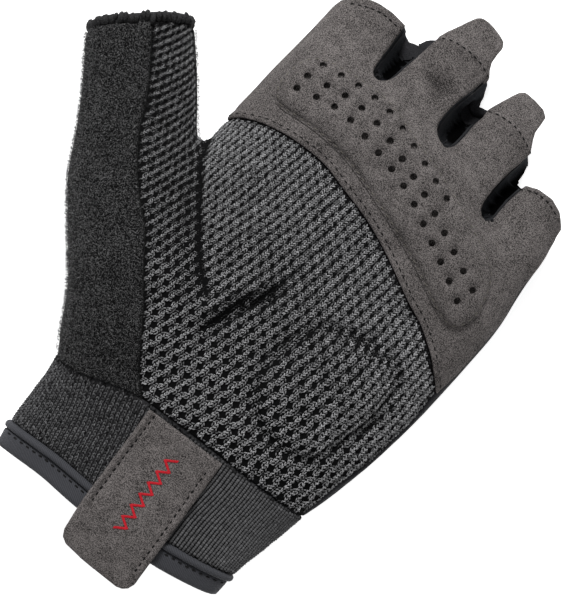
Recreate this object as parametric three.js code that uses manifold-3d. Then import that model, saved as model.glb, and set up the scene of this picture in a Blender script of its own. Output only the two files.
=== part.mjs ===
// A fingerless weightlifting glove for the left hand, lying palm up.
// Millimetres, +Z up. The origin is the middle of the palm, on the surface that the back lies on.
// +Y runs from the cuff to the fingers and +X towards the little finger.

import * as THREE from 'three';
import { mergeVertices } from 'three/addons/utils/BufferGeometryUtils.js';
import Module from 'manifold-3d';

const wasm = await Module();
wasm.setup();

// Lengths along the hand
const cuff_length = 37;
const heel_length = 49;
const palm_length = 66;
const finger_length = 25.5;
const knuckle_drop = 12;

// Widths and heights of the worn form
const cuff_width = 84;
const palm_width = 102;
const knuckle_width = 98;
const cuff_height = 21;
const palm_height = 29;
const finger_height = 18;
const thumb_length = 85;
const thumb_width = 34;
const thumb_height = 20;
const thumb_angle = 125.7;
const floor_share = 1.25;
const section_power = 2.35;

// Thicknesses of the cloths and leathers
const suede_thickness = 1.4;
const knit_thickness = 1.8;
const terry_thickness = 2.6;
const back_thickness = 1.5;
const cuff_thickness = 2;
const stretch_thickness = 1.3;
const suede_lap = 0.4;
const terry_pile = 0.9;
const seam_gap = 0.3;

// The padded part of the palm
const pad_foam = 2.5;
const pad_shoulder = 1.6;
const hole_diameter = 2.2;
const hole_pitch = 5.95;
const heel_pad_length = 39;
const heel_pad_width = 35;
const heel_pad_rise = 1.3;
const fold_width = 1.2;
const fold_depth = 0.9;

// Edges and tabs
const hem_width = 2.7;
const hem_roll = 0.6;
const piping_width = 2.2;
const piping_rise = 0.9;
const binding_width = 5.6;
const pull_tab_width = 26.4;
const pull_tab_length = 48;
const pull_tab_corner = 3;
const pull_tab_lean = 2;
const pull_tab_taper = 2;
const pull_tab_slant = 1.2;
const pull_tab_thickness = 1.6;
const finger_tab_thickness = 1.8;
const finger_tab_reach = 13;
const overrun = 9;

// A place on the palm from its shares. Across, -1 and 1 are the two sides. Along, -2 is the
// cuff's edge, -1 the cuff seam, 0 the origin, 1 the forks and 2 the end of the middle finger.
function along(v) {
  if (v < -1) return -heel_length + (v + 1) * cuff_length;
  if (v < 0) return v * heel_length;
  if (v < 1) return v * palm_length;
  return palm_length + (v - 1) * finger_length;
}

function half_width(v) {
  if (v <= -1) return cuff_width / 2;
  if (v <= 0) return THREE.MathUtils.lerp(palm_width, cuff_width, -v) / 2;
  return THREE.MathUtils.lerp(palm_width, knuckle_width, Math.min(v, 1)) / 2;
}

function height(v) {
  return THREE.MathUtils.lerp(cuff_height, palm_height, THREE.MathUtils.smoothstep(v, -1.25, -0.4));
}

function at(u, v) {
  return new THREE.Vector2(u * half_width(v), along(v));
}

// A place beside the thumb's centre line: s runs from its root to its open end, w across it
// towards the fingers.
const thumb_root = at(-0.868, -0.673);
const thumb_run = THREE.MathUtils.degToRad(thumb_angle);

function by_thumb(s, w) {
  const run = new THREE.Vector2(Math.cos(thumb_run), Math.sin(thumb_run));
  const across = new THREE.Vector2(run.y, -run.x);
  return thumb_root.clone().addScaledVector(run, s * thumb_length).addScaledVector(across, w * thumb_width);
}

// Solids from closed geometry, and back to a mesh
function solid(geometry) {
  const bare = geometry.clone();
  bare.deleteAttribute('normal');
  bare.deleteAttribute('uv');
  const merged = mergeVertices(bare, 1e-4);
  return new wasm.Manifold(new wasm.Mesh({
    numProp: 3,
    vertProperties: Float32Array.from(merged.attributes.position.array),
    triVerts: Uint32Array.from(merged.index.array),
  }));
}

function join(solids) {
  return solids.reduce((whole, next) => whole.add(next));
}

const group = new THREE.Group();

function piece(name, body, colour, roughness) {
  const made = body.getMesh();
  const geometry = new THREE.BufferGeometry();
  geometry.setAttribute('position', new THREE.BufferAttribute(Float32Array.from(made.vertProperties), 3));
  geometry.setIndex(new THREE.BufferAttribute(Uint32Array.from(made.triVerts), 1));
  geometry.computeVertexNormals();
  const mesh = new THREE.Mesh(geometry, new THREE.MeshStandardMaterial({ color: colour, roughness, metalness: 0 }));
  mesh.name = name;
  group.add(mesh);
}

// A closed skin through rings of equal count, with flat ends
function loft(rings) {
  const count = rings[0].length;
  const positions = rings.flat().flatMap((point) => point.toArray());
  const index = [];
  for (let row = 0; row + 1 < rings.length; row += 1) {
    for (let i = 0; i < count; i += 1) {
      const a = row * count + i;
      const b = row * count + (i + 1) % count;
      index.push(a, b, b + count, a, b + count, a + count);
    }
  }
  const last = (rings.length - 1) * count;
  for (let i = 1; i + 1 < count; i += 1) {
    index.push(0, i + 1, i);
    index.push(last, last + i, last + i + 1);
  }
  const geometry = new THREE.BufferGeometry();
  geometry.setAttribute('position', new THREE.Float32BufferAttribute(positions, 3));
  geometry.setIndex(index);
  return solid(geometry);
}

// One ring of the form: a rounded section that is flat where it lies on the floor. It stands
// at a centre, faces along a direction, and is grown by a distance or shrunk by a negative one.
function ring(centre, across, left, right, low, side, top, grow, steps) {
  const points = [];
  for (let i = 0; i < steps; i += 1) {
    const angle = (i / steps) * 2 * Math.PI;
    const reach = Math.sign(Math.cos(angle)) * Math.abs(Math.cos(angle)) ** (2 / section_power);
    const lift = Math.sign(Math.sin(angle)) * Math.abs(Math.sin(angle)) ** (2 / section_power);
    const width = (reach < 0 ? left : right) + grow;
    const depth = lift < 0 ? (side - low) * floor_share + grow : top - side + grow;
    const z = Math.max(side + lift * depth, low - grow);
    points.push(new THREE.Vector3(centre.x + across.x * reach * width, centre.y + across.y * reach * width, z));
  }
  return points;
}

// Sections of the hand from the cuff to the forks: place along, the two sides as shares of the
// half width there, and the top and the widest height as shares of the height there
const body_sections = [
  { v: -2.35, left: -0.945, right: 0.915, top: 0.93, side: 0.47 },
  { v: -1.9, left: -0.985, right: 0.94, top: 0.98, side: 0.48 },
  { v: -1.55, left: -1.0, right: 0.965, top: 1.0, side: 0.48 },
  { v: -1.2, left: -1.03, right: 1.03, top: 1.0, side: 0.48 },
  { v: -1.0, left: -1.07, right: 1.045, top: 1.0, side: 0.47 },
  { v: -0.5, left: -1.04, right: 1.07, top: 0.97, side: 0.44 },
  { v: 0.0, left: -0.98, right: 1.035, top: 0.96, side: 0.4 },
  { v: 0.4, left: -0.975, right: 1.055, top: 0.98, side: 0.37 },
  { v: 0.7, left: -0.96, right: 1.05, top: 1.0, side: 0.35 },
  { v: 0.85, left: -0.95, right: 1.0, top: 0.96, side: 0.34 },
  { v: 1.0, left: -0.93, right: 0.94, top: 0.82, side: 0.32 },
  { v: 1.15, left: -0.9, right: 0.93, top: 0.6, side: 0.28 },
  { v: 1.35, left: -0.88, right: 0.93, top: 0.4, side: 0.19 },
  { v: 1.58, left: -0.86, right: 0.92, top: 0.2, side: 0.1 },
];

// The forks lie further down the hand towards the little finger
function fork_drop(x, v) {
  const sideways = THREE.MathUtils.clamp(x / half_width(1) + 0.4, 0, 1);
  return knuckle_drop * sideways ** 2 * THREE.MathUtils.clamp((v - 0.3) / 0.5, 0, 1);
}

function body(grow) {
  const rings = body_sections.map((row) => {
    const high = height(row.v);
    const wide = half_width(row.v);
    const end = row.v > 1 ? grow : 0;
    const centre = new THREE.Vector2(0, along(row.v));
    const section = ring(centre, { x: 1, y: 0 }, -row.left * wide, row.right * wide, 0,
      row.side * high, row.top * high, grow, 28);
    return section.map((point) => point.setY(point.y - fork_drop(point.x, row.v) + end));
  });
  return loft(rings.map((section) => section.reverse()));
}

// Each finger sleeve: its centre at the root and at the tip, its half widths as shares of the
// half width of the knuckles, and how far along its open end lies
const fingers = {
  index: { root: [-0.69, 0.55], tip: -0.687, wide: [0.262, 0.265], end: 1.71 },
  middle: { root: [-0.125, 0.55], tip: -0.13, wide: [0.25, 0.245], end: 1.94 },
  ring: { root: [0.39, 0.5], tip: 0.37, wide: [0.22, 0.205], end: 1.63 },
  little: { root: [0.84, 0.4], tip: 0.805, wide: [0.22, 0.2], end: 1.19 },
};

function finger(row, grow) {
  const from = at(...row.root);
  const to = at(row.tip, row.end);
  const run = to.clone().sub(from);
  const past = run.clone().setLength(overrun);
  const across = { x: 1, y: 0 };
  const stations = [
    { point: from.clone().addScaledVector(run, -0.25), wide: 0.6 * row.wide[0], top: 0.7 },
    { point: from.clone().addScaledVector(run, 0.15), wide: 0.97 * row.wide[0], top: 1.25 },
    { point: from.clone().addScaledVector(run, 0.5), wide: row.wide[0], top: 1.18 },
    { point: from.clone().addScaledVector(run, 0.8), wide: row.wide[1], top: 1.03 },
    { point: to, wide: row.wide[1], top: 0.97 },
    { point: to.clone().add(past), wide: row.wide[1], top: 0.94 },
  ];
  const rings = stations.map(({ point, wide, top }) => {
    const half = wide * half_width(1);
    return ring(point, across, half, half, 0, 0.47 * top * finger_height, top * finger_height, grow, 16);
  });
  return loft(rings.map((section) => section.reverse()));
}

// The thumb from the heel of the hand to its open end: place along, half width and top
const thumb_sections = [
  { s: -0.3, half: 0.3, top: 0.95 },
  { s: -0.1, half: 0.42, top: 1.34 },
  { s: 0.15, half: 0.49, top: 1.47 },
  { s: 0.4, half: 0.545, top: 1.25 },
  { s: 0.68, half: 0.5, top: 1.02 },
  { s: 1.0, half: 0.455, top: 0.92 },
];

function thumb(grow) {
  const across = by_thumb(0, 1).sub(thumb_root).normalize();
  const past = { s: 1 + overrun / thumb_length, half: 0.45, top: 0.9 };
  const rings = [...thumb_sections, past].map((row) => {
    const half = row.half * thumb_width;
    const top = row.top * thumb_height;
    return ring(by_thumb(row.s, 0), across, half, half, 0, 0.45 * top, top, grow, 20);
  });
  return loft(rings.map((section) => section.reverse()));
}

// The round pad under the knit at the heel of the hand, from its centre: shares of its half
// width across and of its half length along
const heel_pad_outline = [
  [-0.93, -0.42], [-0.98, -0.1], [-0.9, 0.3], [-0.68, 0.68], [-0.3, 0.9], [0.15, 1.0], [0.6, 0.96],
  [0.85, 0.75], [0.93, 0.3], [0.9, -0.3], [0.75, -0.7], [0.5, -0.97], [0.0, -1.0], [-0.45, -0.93], [-0.75, -0.75],
];

function heel_pad(grow) {
  const centre = at(0.49, -0.3);
  const edge = closed_curve(heel_pad_outline.map(([across, up]) => new THREE.Vector2(
    centre.x + across * heel_pad_width / 2, centre.y + up * heel_pad_length / 2)), 22);
  const step = (rise, inset) => body(grow + rise).intersect(prism(drawn_in(edge, inset - grow), 0.5 * palm_height));
  return step(0.6 * heel_pad_rise, 0).add(step(heel_pad_rise, pad_shoulder));
}

function form(grow) {
  return join([body(grow), thumb(grow), heel_pad(grow), ...Object.values(fingers).map((row) => finger(row, grow))]);
}

// Upright solids over an outline, and thin upright walls along a seam that part two pieces
const far = 2 * (palm_length + heel_length + thumb_length);

function prism(outline, low = -far, high = far) {
  const geometry = new THREE.ExtrudeGeometry(new THREE.Shape(outline), { depth: high - low, bevelEnabled: false });
  geometry.translate(0, 0, low);
  return solid(geometry);
}

function curve(points, steps) {
  return new THREE.SplineCurve(points).getSpacedPoints(steps);
}

function closed_curve(points, steps) {
  return new THREE.SplineCurve([...points, points[0]]).getSpacedPoints(steps).slice(0, -1);
}

function drawn_in(points, distance) {
  return points.map((point, i) => {
    const before = points[(i + points.length - 1) % points.length];
    const after = points[(i + 1) % points.length];
    const run = after.clone().sub(before).normalize();
    return new THREE.Vector2(point.x + run.y * distance, point.y - run.x * distance);
  });
}

function wall(points, width = seam_gap) {
  const sides = [1, -1].map((sign) => points.map((point, i) => {
    const before = points[Math.max(i - 1, 0)];
    const after = points[Math.min(i + 1, points.length - 1)];
    const run = after.clone().sub(before).normalize();
    return new THREE.Vector2(point.x - sign * run.y * width / 2, point.y + sign * run.x * width / 2);
  }));
  return prism([...sides[0], ...sides[1].reverse()]);
}

// The seam between the palm side and the back runs round the sides at a height that changes
// along the hand. Rows go along, columns across, as shares of the height of the palm.
const split_columns = [-4, -1.05, -0.5, 0.5, 1.05, 4];
const split_rows = [
  { v: -3, heights: [0.26, 0.3, 0.34, 0.42, 0.52, 0.52] },
  { v: -1, heights: [0.26, 0.3, 0.34, 0.42, 0.52, 0.52] },
  { v: 0, heights: [0.26, 0.3, 0.34, 0.42, 0.52, 0.52] },
  { v: 1, heights: [0.26, 0.28, 0.26, 0.28, 0.46, 0.46] },
  { v: 1.4, heights: [0.26, 0.27, 0.25, 0.25, 0.4, 0.4] },
  { v: 3, heights: [0.25, 0.25, 0.25, 0.25, 0.36, 0.36] },
];

function over_split(lift) {
  return loft(split_rows.map((row) => {
    const seam = split_columns.map((u, i) => (
      new THREE.Vector3(u * palm_width / 2, along(row.v), row.heights[i] * palm_height + lift)));
    const cap = split_columns.map((u) => new THREE.Vector3(u * palm_width / 2, along(row.v), 3 * palm_height));
    return [...cap, ...seam.reverse()];
  }));
}

const floor_up = prism([at(-9, -9), at(9, -9), at(9, 9), at(-9, 9)], 0, far);
const above = over_split(0);
const below = floor_up.subtract(over_split(-seam_gap));

// Seams, as shares of the hand or of the thumb
const cuff_seam = curve([
  at(-1.6, -1.22), at(-1.1, -1.24), at(-0.872, -1.237), at(-0.632, -1.129), at(-0.44, -1.048),
  at(-0.177, -1.019), at(0.319, -0.993), at(0.582, -0.987), at(0.963, -0.97), at(1.6, -0.96),
], 30);
const suede_seam = curve([
  at(-1.03, 0.36), at(-0.996, 0.421), at(-0.941, 0.475), at(-0.775, 0.529), at(-0.598, 0.553),
  at(-0.369, 0.558), at(-0.174, 0.525), at(0.052, 0.484), at(0.269, 0.421), at(0.51, 0.335),
  at(0.671, 0.287), at(0.91, 0.165), at(1.0, 0.106), at(1.3, -0.06),
], 34);
const terry_seam = curve([
  by_thumb(1.2, 0.117), by_thumb(1.0, 0.117), by_thumb(0.8, 0.128), by_thumb(0.6, 0.09),
  by_thumb(0.416, 0.114), by_thumb(0.257, 0.211), by_thumb(0.01, 0.251), by_thumb(-0.207, 0.241),
  at(-0.367, -1.02), at(-0.32, -1.16),
], 26);
const dart = curve([
  at(-1.06, 0.44), at(-1.016, 0.377), at(-0.982, 0.324), at(-0.93, 0.233), at(-0.797, 0.108),
  at(-0.679, -0.002), at(-0.539, -0.177), at(-0.396, -0.296),
], 14);
const fold = curve([
  at(-0.255, -0.403), at(-0.213, -0.293), at(-0.178, -0.196), at(-0.12, -0.127), at(-0.092, -0.032),
  at(-0.077, 0.033), at(-0.101, 0.08),
], 8);
const back_seam = curve([
  at(-1.07, 0.5), at(-1.04, 0.36), at(-0.9, 0.1), at(-0.84, -0.4), at(-0.93, -0.85), at(-1.0, -1.35),
], 14);
const piping_line = curve([
  at(-1.5, -1.93), at(-0.974, -1.9), at(-0.538, -1.845), at(0.29, -1.83), at(0.969, -1.716), at(1.5, -1.7),
], 16);

// Everything between a seam and the far side of the sheet
const past_left = at(-9, 0).x;
const past_right = at(9, 0).x;
const past_top = along(9);
const past_foot = along(-9);

function beyond_seam(points) {
  return prism([...points, new THREE.Vector2(past_right, past_top), new THREE.Vector2(past_left, past_top)]);
}

function left_of_seam(points) {
  return prism([...points, new THREE.Vector2(points.at(-1).x, past_foot), new THREE.Vector2(past_left, past_foot),
    new THREE.Vector2(past_left, past_top), new THREE.Vector2(points[0].x, past_top)]);
}

// The open ends of the fingers and the thumb
const slots = [
  { left: [-0.54, 1.85], points: [[-0.529, 1.416], [-0.514, 1.075], [-0.451, 1.0], [-0.39, 1.098], [-0.369, 1.333]],
    right: [-0.335, 1.98], between: -0.4 },
  { left: [0.055, 2.05], points: [[0.027, 1.647], [-0.006, 1.098], [0.041, 0.986], [0.143, 0.973], [0.176, 1.157]],
    right: [0.2, 2.1], between: 0.135 },
  { left: [0.55, 1.8], points: [[0.516, 1.18], [0.512, 0.874], [0.58, 0.83], [0.635, 0.87], [0.65, 0.98]],
    right: [0.68, 1.8], between: 0.59 },
];

function end_outline() {
  const ends = Object.values(fingers).map((row) => row.end);
  const steps = slots.flatMap((slot, i) => [at(slot.between, ends[i]), at(slot.between, ends[i + 1])]);
  const left = new THREE.Vector2(at(-1.03, 1).x, along(ends[0]));
  const right = new THREE.Vector2(past_right, along(ends[3]));
  return [left, ...steps, right, new THREE.Vector2(past_right, past_foot),
    new THREE.Vector2(past_left, past_foot), new THREE.Vector2(past_left, along(ends[0]))];
}

const thumb_end = prism([by_thumb(1, -3), by_thumb(1, 1.4), by_thumb(3, 1.4), by_thumb(3, -3)]);
const hem_zone = prism([by_thumb(1 - hem_width / thumb_length, -1), by_thumb(1 - hem_width / thumb_length, 1),
  by_thumb(3, 1), by_thumb(3, -1)]);
const hem_gap = wall([by_thumb(1 - hem_width / thumb_length, -1), by_thumb(1 - hem_width / thumb_length, 1)]);
const hand = prism(end_outline()).subtract(thumb_end);
const upper = hand.intersect(beyond_seam(cuff_seam)).subtract(wall(cuff_seam));
const cuff_zone = hand.subtract(beyond_seam(cuff_seam)).subtract(wall(cuff_seam));

function shell(proud, thickness) {
  return form(proud).subtract(form(proud - thickness)).intersect(floor_up);
}

function slot_prism(slot) {
  return prism([at(...slot.left), ...curve(slot.points.map((point) => at(...point)), 12), at(...slot.right)]);
}

const slot_walls = join(slots.map((slot) => (
  wall([at(...slot.left), ...curve(slot.points.map((point) => at(...point)), 12), at(...slot.right)]))));
const slot_zone = join(slots.map(slot_prism));
const web_side = prism([at(-1.045, 0.3), at(0, 0.3), new THREE.Vector2(0, past_foot),
  new THREE.Vector2(past_right, past_foot), new THREE.Vector2(past_right, past_top),
  new THREE.Vector2(at(-1.045, 0.3).x, past_top)]);
const suede_zone = beyond_seam(suede_seam).intersect(web_side);

// Palm suede with the fronts of the four fingers
piece('palm_suede', shell(suede_lap, suede_thickness).intersect(upper).intersect(above).intersect(suede_zone)
  .subtract(wall(suede_seam)).subtract(slot_zone).subtract(slot_walls), 0x64605d, 0.95);

// Dark stretch cloth in the forks between the fingers
['fourchette_index_middle', 'fourchette_middle_ring', 'fourchette_ring_little'].forEach((name, i) => {
  piece(name, shell(0, stretch_thickness).intersect(upper).intersect(above)
    .intersect(slot_prism(slots[i])).subtract(slot_walls), 0x15171b, 0.7);
});

// Knit over the palm and the inner side of the thumb, darted from the web
piece('palm_knit', shell(0, knit_thickness).intersect(upper).intersect(above)
  .subtract(suede_zone).subtract(left_of_seam(terry_seam)).subtract(hem_zone).subtract(hem_gap)
  .subtract(wall(suede_seam)).subtract(wall(terry_seam)).subtract(wall(dart))
  .subtract(wall(fold, fold_width).subtract(form(-fold_depth))), 0x34353a, 0.9);

// Terry on the outer side and the back of the thumb
const terry_front = left_of_seam(terry_seam).subtract(wall(terry_seam));
const terry_back = left_of_seam(back_seam).subtract(wall(back_seam));
const terry_zone = join([terry_front.intersect(above), terry_back.intersect(below),
  terry_front.intersect(terry_back)]);
piece('thumb_terry', shell(terry_pile, terry_thickness).intersect(upper).intersect(terry_zone)
  .subtract(hem_zone).subtract(hem_gap), 0x2d2d2f, 1);

// Overlocked edge of the thumb
piece('thumb_edge', shell(hem_roll, terry_thickness).intersect(hand).intersect(hem_zone)
  .subtract(hem_gap), 0x232325, 0.95);

// Back of the hand and of the fingers
piece('back_panel', shell(0, back_thickness).intersect(upper).intersect(below)
  .subtract(left_of_seam(back_seam)).subtract(wall(back_seam)), 0x1d1e21, 0.85);

// Cuff, with its piping and its binding tape
const cuff_below = prism([...piping_line, new THREE.Vector2(past_right, past_foot),
  new THREE.Vector2(past_left, past_foot)]);
const shift = (points, distance) => points.map((point) => new THREE.Vector2(point.x, point.y - distance));
const binding_line = shift(piping_line, piping_width);
const edge_line = shift(binding_line, binding_width);
const binding_below = prism([...binding_line, new THREE.Vector2(past_right, past_foot),
  new THREE.Vector2(past_left, past_foot)]);
const edge_below = prism([...edge_line, new THREE.Vector2(past_right, past_foot),
  new THREE.Vector2(past_left, past_foot)]);
piece('cuff', shell(0, cuff_thickness).intersect(cuff_zone).subtract(cuff_below)
  .subtract(wall(piping_line)), 0x2c2d31, 0.9);
piece('cuff_piping', shell(piping_rise, cuff_thickness + piping_rise).intersect(cuff_below)
  .subtract(binding_below).subtract(wall(piping_line)).subtract(wall(binding_line)), 0x2a2c30, 0.85);
piece('cuff_binding', shell(0, cuff_thickness).intersect(binding_below)
  .subtract(edge_below).subtract(wall(binding_line)), 0x33363c, 0.8);

// Padded grip over the suede, pierced by three rows of holes
const pad_outline = [
  [-0.829, 0.657], [-0.875, 0.731], [-0.867, 0.798], [-0.846, 0.859], [-0.744, 0.918], [-0.568, 0.949],
  [-0.277, 0.945], [0.053, 0.883], [0.283, 0.83], [0.56, 0.756], [0.786, 0.674], [0.867, 0.562],
  [0.865, 0.419], [0.78, 0.372], [0.584, 0.426], [0.368, 0.492], [0.124, 0.553], [-0.122, 0.611],
  [-0.358, 0.642], [-0.575, 0.648], [-0.753, 0.637],
];
const hole_rows = [
  [[-0.739, 0.886], [-0.494, 0.914], [-0.26, 0.908], [-0.016, 0.858], [0.315, 0.776]],
  [[-0.763, 0.806], [-0.511, 0.839], [-0.268, 0.83], [0.073, 0.761], [0.413, 0.665], [0.767, 0.547]],
  [[-0.761, 0.736], [-0.518, 0.771], [-0.285, 0.759], [0.052, 0.705], [0.39, 0.598], [0.737, 0.471]],
];

function hole_centres(row) {
  const line = new THREE.SplineCurve(row.map((point) => at(...point)));
  const count = Math.round(line.getLength() / hole_pitch);
  return line.getSpacedPoints(count);
}

const pad_edge = closed_curve(pad_outline.map((point) => at(...point)), 44);
const pad_low = form(suede_lap + seam_gap + 0.5 * pad_foam).intersect(prism(pad_edge));
const pad_high = form(suede_lap + seam_gap + pad_foam).intersect(prism(drawn_in(pad_edge, pad_shoulder)));
const holes = hole_rows.flatMap(hole_centres).map((centre) => {
  const drill = new THREE.CylinderGeometry(hole_diameter / 2, hole_diameter / 2, palm_height, 8);
  drill.rotateX(Math.PI / 2);
  drill.translate(centre.x, centre.y, palm_height);
  return solid(drill);
});
piece('grip_pad', pad_low.add(pad_high).subtract(form(suede_lap + seam_gap)).subtract(join(holes))
  .intersect(above), 0x646160, 0.95);

// Strap sewn into the cuff seam, lying over the cuff and past its edge
const strap_top = piping_rise + seam_gap;
const strap_sections = [
  { v: -1.0, lift: 0.25 }, { v: -1.4, lift: 0.3 }, { v: -1.7, lift: 0.9 }, { v: -1.85, lift: 1 },
  { v: -2.15, lift: 1 }, { v: -2.45, lift: 0.9 },
];

function strap_form(grow) {
  const rings = strap_sections.map((row) => {
    const wide = half_width(row.v);
    const high = height(row.v);
    return ring(new THREE.Vector2(0, along(row.v)), { x: 1, y: 0 }, wide, wide, 0, 0.48 * high, high,
      strap_top * row.lift + seam_gap + grow, 28);
  });
  return loft(rings);
}

const strap_left = at(-0.26, -1).x;
const strap_head = along(-1) - 2 * seam_gap;
const strap_foot = strap_head - pull_tab_length;
const foot_left = strap_left + pull_tab_lean + pull_tab_taper;
const foot_right = strap_left + pull_tab_width + pull_tab_lean;
const strap_outline = new THREE.Shape();
strap_outline.moveTo(strap_left, strap_head - pull_tab_slant);
strap_outline.lineTo(strap_left + pull_tab_width, strap_head);
strap_outline.lineTo(foot_right, strap_foot + pull_tab_corner);
strap_outline.quadraticCurveTo(foot_right, strap_foot, foot_right - pull_tab_corner, strap_foot);
strap_outline.lineTo(foot_left + pull_tab_corner, strap_foot);
strap_outline.quadraticCurveTo(foot_left, strap_foot, foot_left, strap_foot + pull_tab_corner);
const strap_side = [-1, 1].map((sign) => sign * palm_width);
const strap_half = prism([new THREE.Vector2(strap_side[0], past_foot), new THREE.Vector2(strap_side[1], past_foot),
  new THREE.Vector2(strap_side[1], 0), new THREE.Vector2(strap_side[0], 0)], 0.6 * cuff_height, far);
piece('pull_tab', strap_form(pull_tab_thickness).subtract(strap_form(0)).intersect(strap_half)
  .intersect(prism(strap_outline.getPoints(4))), 0x5f5b58, 0.95);

// Loops at the ends of the middle and ring fingers, for pulling the glove off
function finger_tab(name, row, shape) {
  const base = at(row.tip, row.end);
  const slope = 0.45;
  const outline = shape.map(([across, reach]) => (
    new THREE.Vector2(base.x + across * row.wide[1] * half_width(1), base.y + seam_gap + reach * finger_tab_reach)));
  const rings = [0, 0.5, 1].map((share) => {
    const y = base.y + seam_gap + share * finger_tab_reach;
    const z = finger_height * 0.93 - slope * share * finger_tab_reach;
    const wide = half_width(1);
    return [[-wide, -finger_tab_thickness], [wide, -finger_tab_thickness], [wide, 0], [-wide, 0]]
      .map(([x, drop]) => new THREE.Vector3(base.x + x, y, z + drop));
  });
  piece(name, loft(rings.map((section) => section.reverse())).intersect(prism(outline)), 0x5a5654, 0.95);
}

finger_tab('finger_tab_middle', fingers.middle,
  [[-0.86, 0], [0.86, 0], [0.72, 0.3], [0.66, 0.8], [0.5, 0.97], [-0.2, 1], [-0.42, 0.95], [-0.68, 0.45]]);
finger_tab('finger_tab_ring', fingers.ring,
  [[-0.86, 0], [0.76, 0], [0.6, 0.35], [0.58, 0.74], [0.4, 0.86], [-0.36, 0.9], [-0.5, 0.8], [-0.7, 0.4]]);

export default group;
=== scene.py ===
import math

import bpy
import numpy as np
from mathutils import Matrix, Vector
from mathutils.bvhtree import BVHTree


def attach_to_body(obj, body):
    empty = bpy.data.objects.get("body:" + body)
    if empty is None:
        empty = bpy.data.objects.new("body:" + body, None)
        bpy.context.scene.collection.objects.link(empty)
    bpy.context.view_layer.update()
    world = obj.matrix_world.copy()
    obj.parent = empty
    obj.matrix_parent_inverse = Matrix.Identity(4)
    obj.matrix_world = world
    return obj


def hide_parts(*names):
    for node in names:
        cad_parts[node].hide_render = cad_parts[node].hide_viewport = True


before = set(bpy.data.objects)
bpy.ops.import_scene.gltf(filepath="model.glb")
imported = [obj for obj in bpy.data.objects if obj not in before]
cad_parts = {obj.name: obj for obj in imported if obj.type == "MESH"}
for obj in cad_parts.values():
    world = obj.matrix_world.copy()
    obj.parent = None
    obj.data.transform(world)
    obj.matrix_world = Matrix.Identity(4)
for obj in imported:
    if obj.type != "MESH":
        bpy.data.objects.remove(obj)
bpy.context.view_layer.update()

# The glove keeps the shape of the hand that it was made for: a palm, four finger roots and a
# thumb, lying on the back of the hand, flat where the cloth rests on the floor. Every panel is
# cut from this one skin. Lengths are millimetres until a piece is made.
STEP = 0.95
grid = [np.arange(low, high, STEP) for low, high in ((-107, 59), (-100.5, 100), (-2.25, 36))]
gx, gy = np.meshgrid(grid[0], grid[1], indexing="ij")
high_z = grid[2][None, None, :]

# along the hand, left side, right side, widest height, top
PALM = [
    (-101, -39.4, 38.2, 9.6, 19.6), (-88, -40.2, 39.4, 9.8, 20.2), (-80, -41.4, 39.8, 10.0, 20.7),
    (-71, -42.0, 40.2, 10.0, 21.0), (-62, -42.4, 42.2, 10.0, 21.2), (-55, -43.4, 43.5, 10.2, 21.7),
    (-49, -45.0, 44.3, 10.6, 23.0), (-40, -46.5, 46.8, 11.2, 25.4), (-24, -48.5, 49.9, 11.6, 27.3),
    (0, -49.8, 52.7, 11.4, 27.8), (26, -49.4, 53.2, 10.6, 28.4), (46, -48.0, 51.9, 10.2, 28.6),
    (56, -46.6, 49.5, 9.8, 27.6), (65, -45.6, 46.0, 8.8, 24.0), (71, -45.0, 45.6, 7.4, 18.4),
    (77, -44.0, 45.4, 5.2, 12.0), (82, -43.0, 45.0, 2.8, 6.0),
]
# along the finger, middle, half width, top
SLEEVES = {
    "index": [(32, -34.6, 9.5, 15), (45, -33.8, 13.2, 23.5), (60, -33.6, 13.3, 21.6),
              (76, -33.2, 13.2, 18.4),
              (84, -32.6, 12.8, 17.4), (101, -32.2, 12.6, 16.6)],
    "middle": [(30, -6.0, 9.0, 15), (45, -6.2, 12.4, 24.0), (60, -6.4, 12.8, 22.0), (76, -6.5, 12.6, 19.0),
               (88, -6.6, 12.0, 17.2), (101, -6.8, 11.8, 16.2)],
    "ring": [(22, 19.6, 8.0, 15), (36, 19.2, 11.2, 23.5), (52, 18.9, 11.6, 21.6), (70, 18.6, 11.2, 18.4),
             (80, 18.2, 10.6, 17.0), (101, 17.8, 10.2, 16.2)],
    "little": [(10, 41.0, 7.0, 13), (24, 41.6, 10.6, 22.0), (42, 41.0, 11.0, 20.6), (58, 40.0, 10.7, 18.2),
               (70, 39.2, 10.0, 16.4), (101, 38.0, 9.6, 15.4)],
}
# along the thumb from its root, half width away from and towards the fingers, widest height, top
THUMB = [
    (-30, 9.0, 10.0, 8.6, 18.5), (-18, 13.0, 13.0, 9.8, 23.0), (-8, 14.4, 14.0, 10.6, 26.0),
    (10, 15.2, 16.0, 11.2, 28.6), (26, 16.8, 18.0, 11.0, 27.4), (38, 17.4, 18.6, 10.4, 25.0),
    (54, 15.8, 18.4, 9.4, 21.6), (70, 15.6, 17.2, 8.6, 19.4), (85, 15.6, 15.2, 8.2, 18.4),
    (110, 15.2, 14.8, 8.0, 17.6),
]
THUMB_ROOT = (-39.0, -33.0)
THUMB_ANGLE = math.radians(125.7)


def smooth(place, table, column):
    """A table's column, smoothly between its rows."""
    knots = np.array([row[0] for row in table], float)
    values = np.array([row[column] for row in table], float)
    slopes = np.gradient(values, knots)
    i = np.clip(np.searchsorted(knots, place) - 1, 0, len(knots) - 2)
    span = knots[i + 1] - knots[i]
    t = np.clip((place - knots[i]) / span, 0, 1)
    return (values[i] * (1 + 2 * t) * (1 - t) ** 2 + slopes[i] * span * t * (1 - t) ** 2
            + values[i + 1] * t ** 2 * (3 - 2 * t) - slopes[i + 1] * span * t ** 2 * (1 - t))


def fork_drop(x, y):
    """How much further down the hand the forks lie towards the little finger."""
    return 12.0 * np.clip(x / 49 + 0.4, 0, 1) ** 2 * np.clip((y - 20) / 33, 0, 1)


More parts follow.
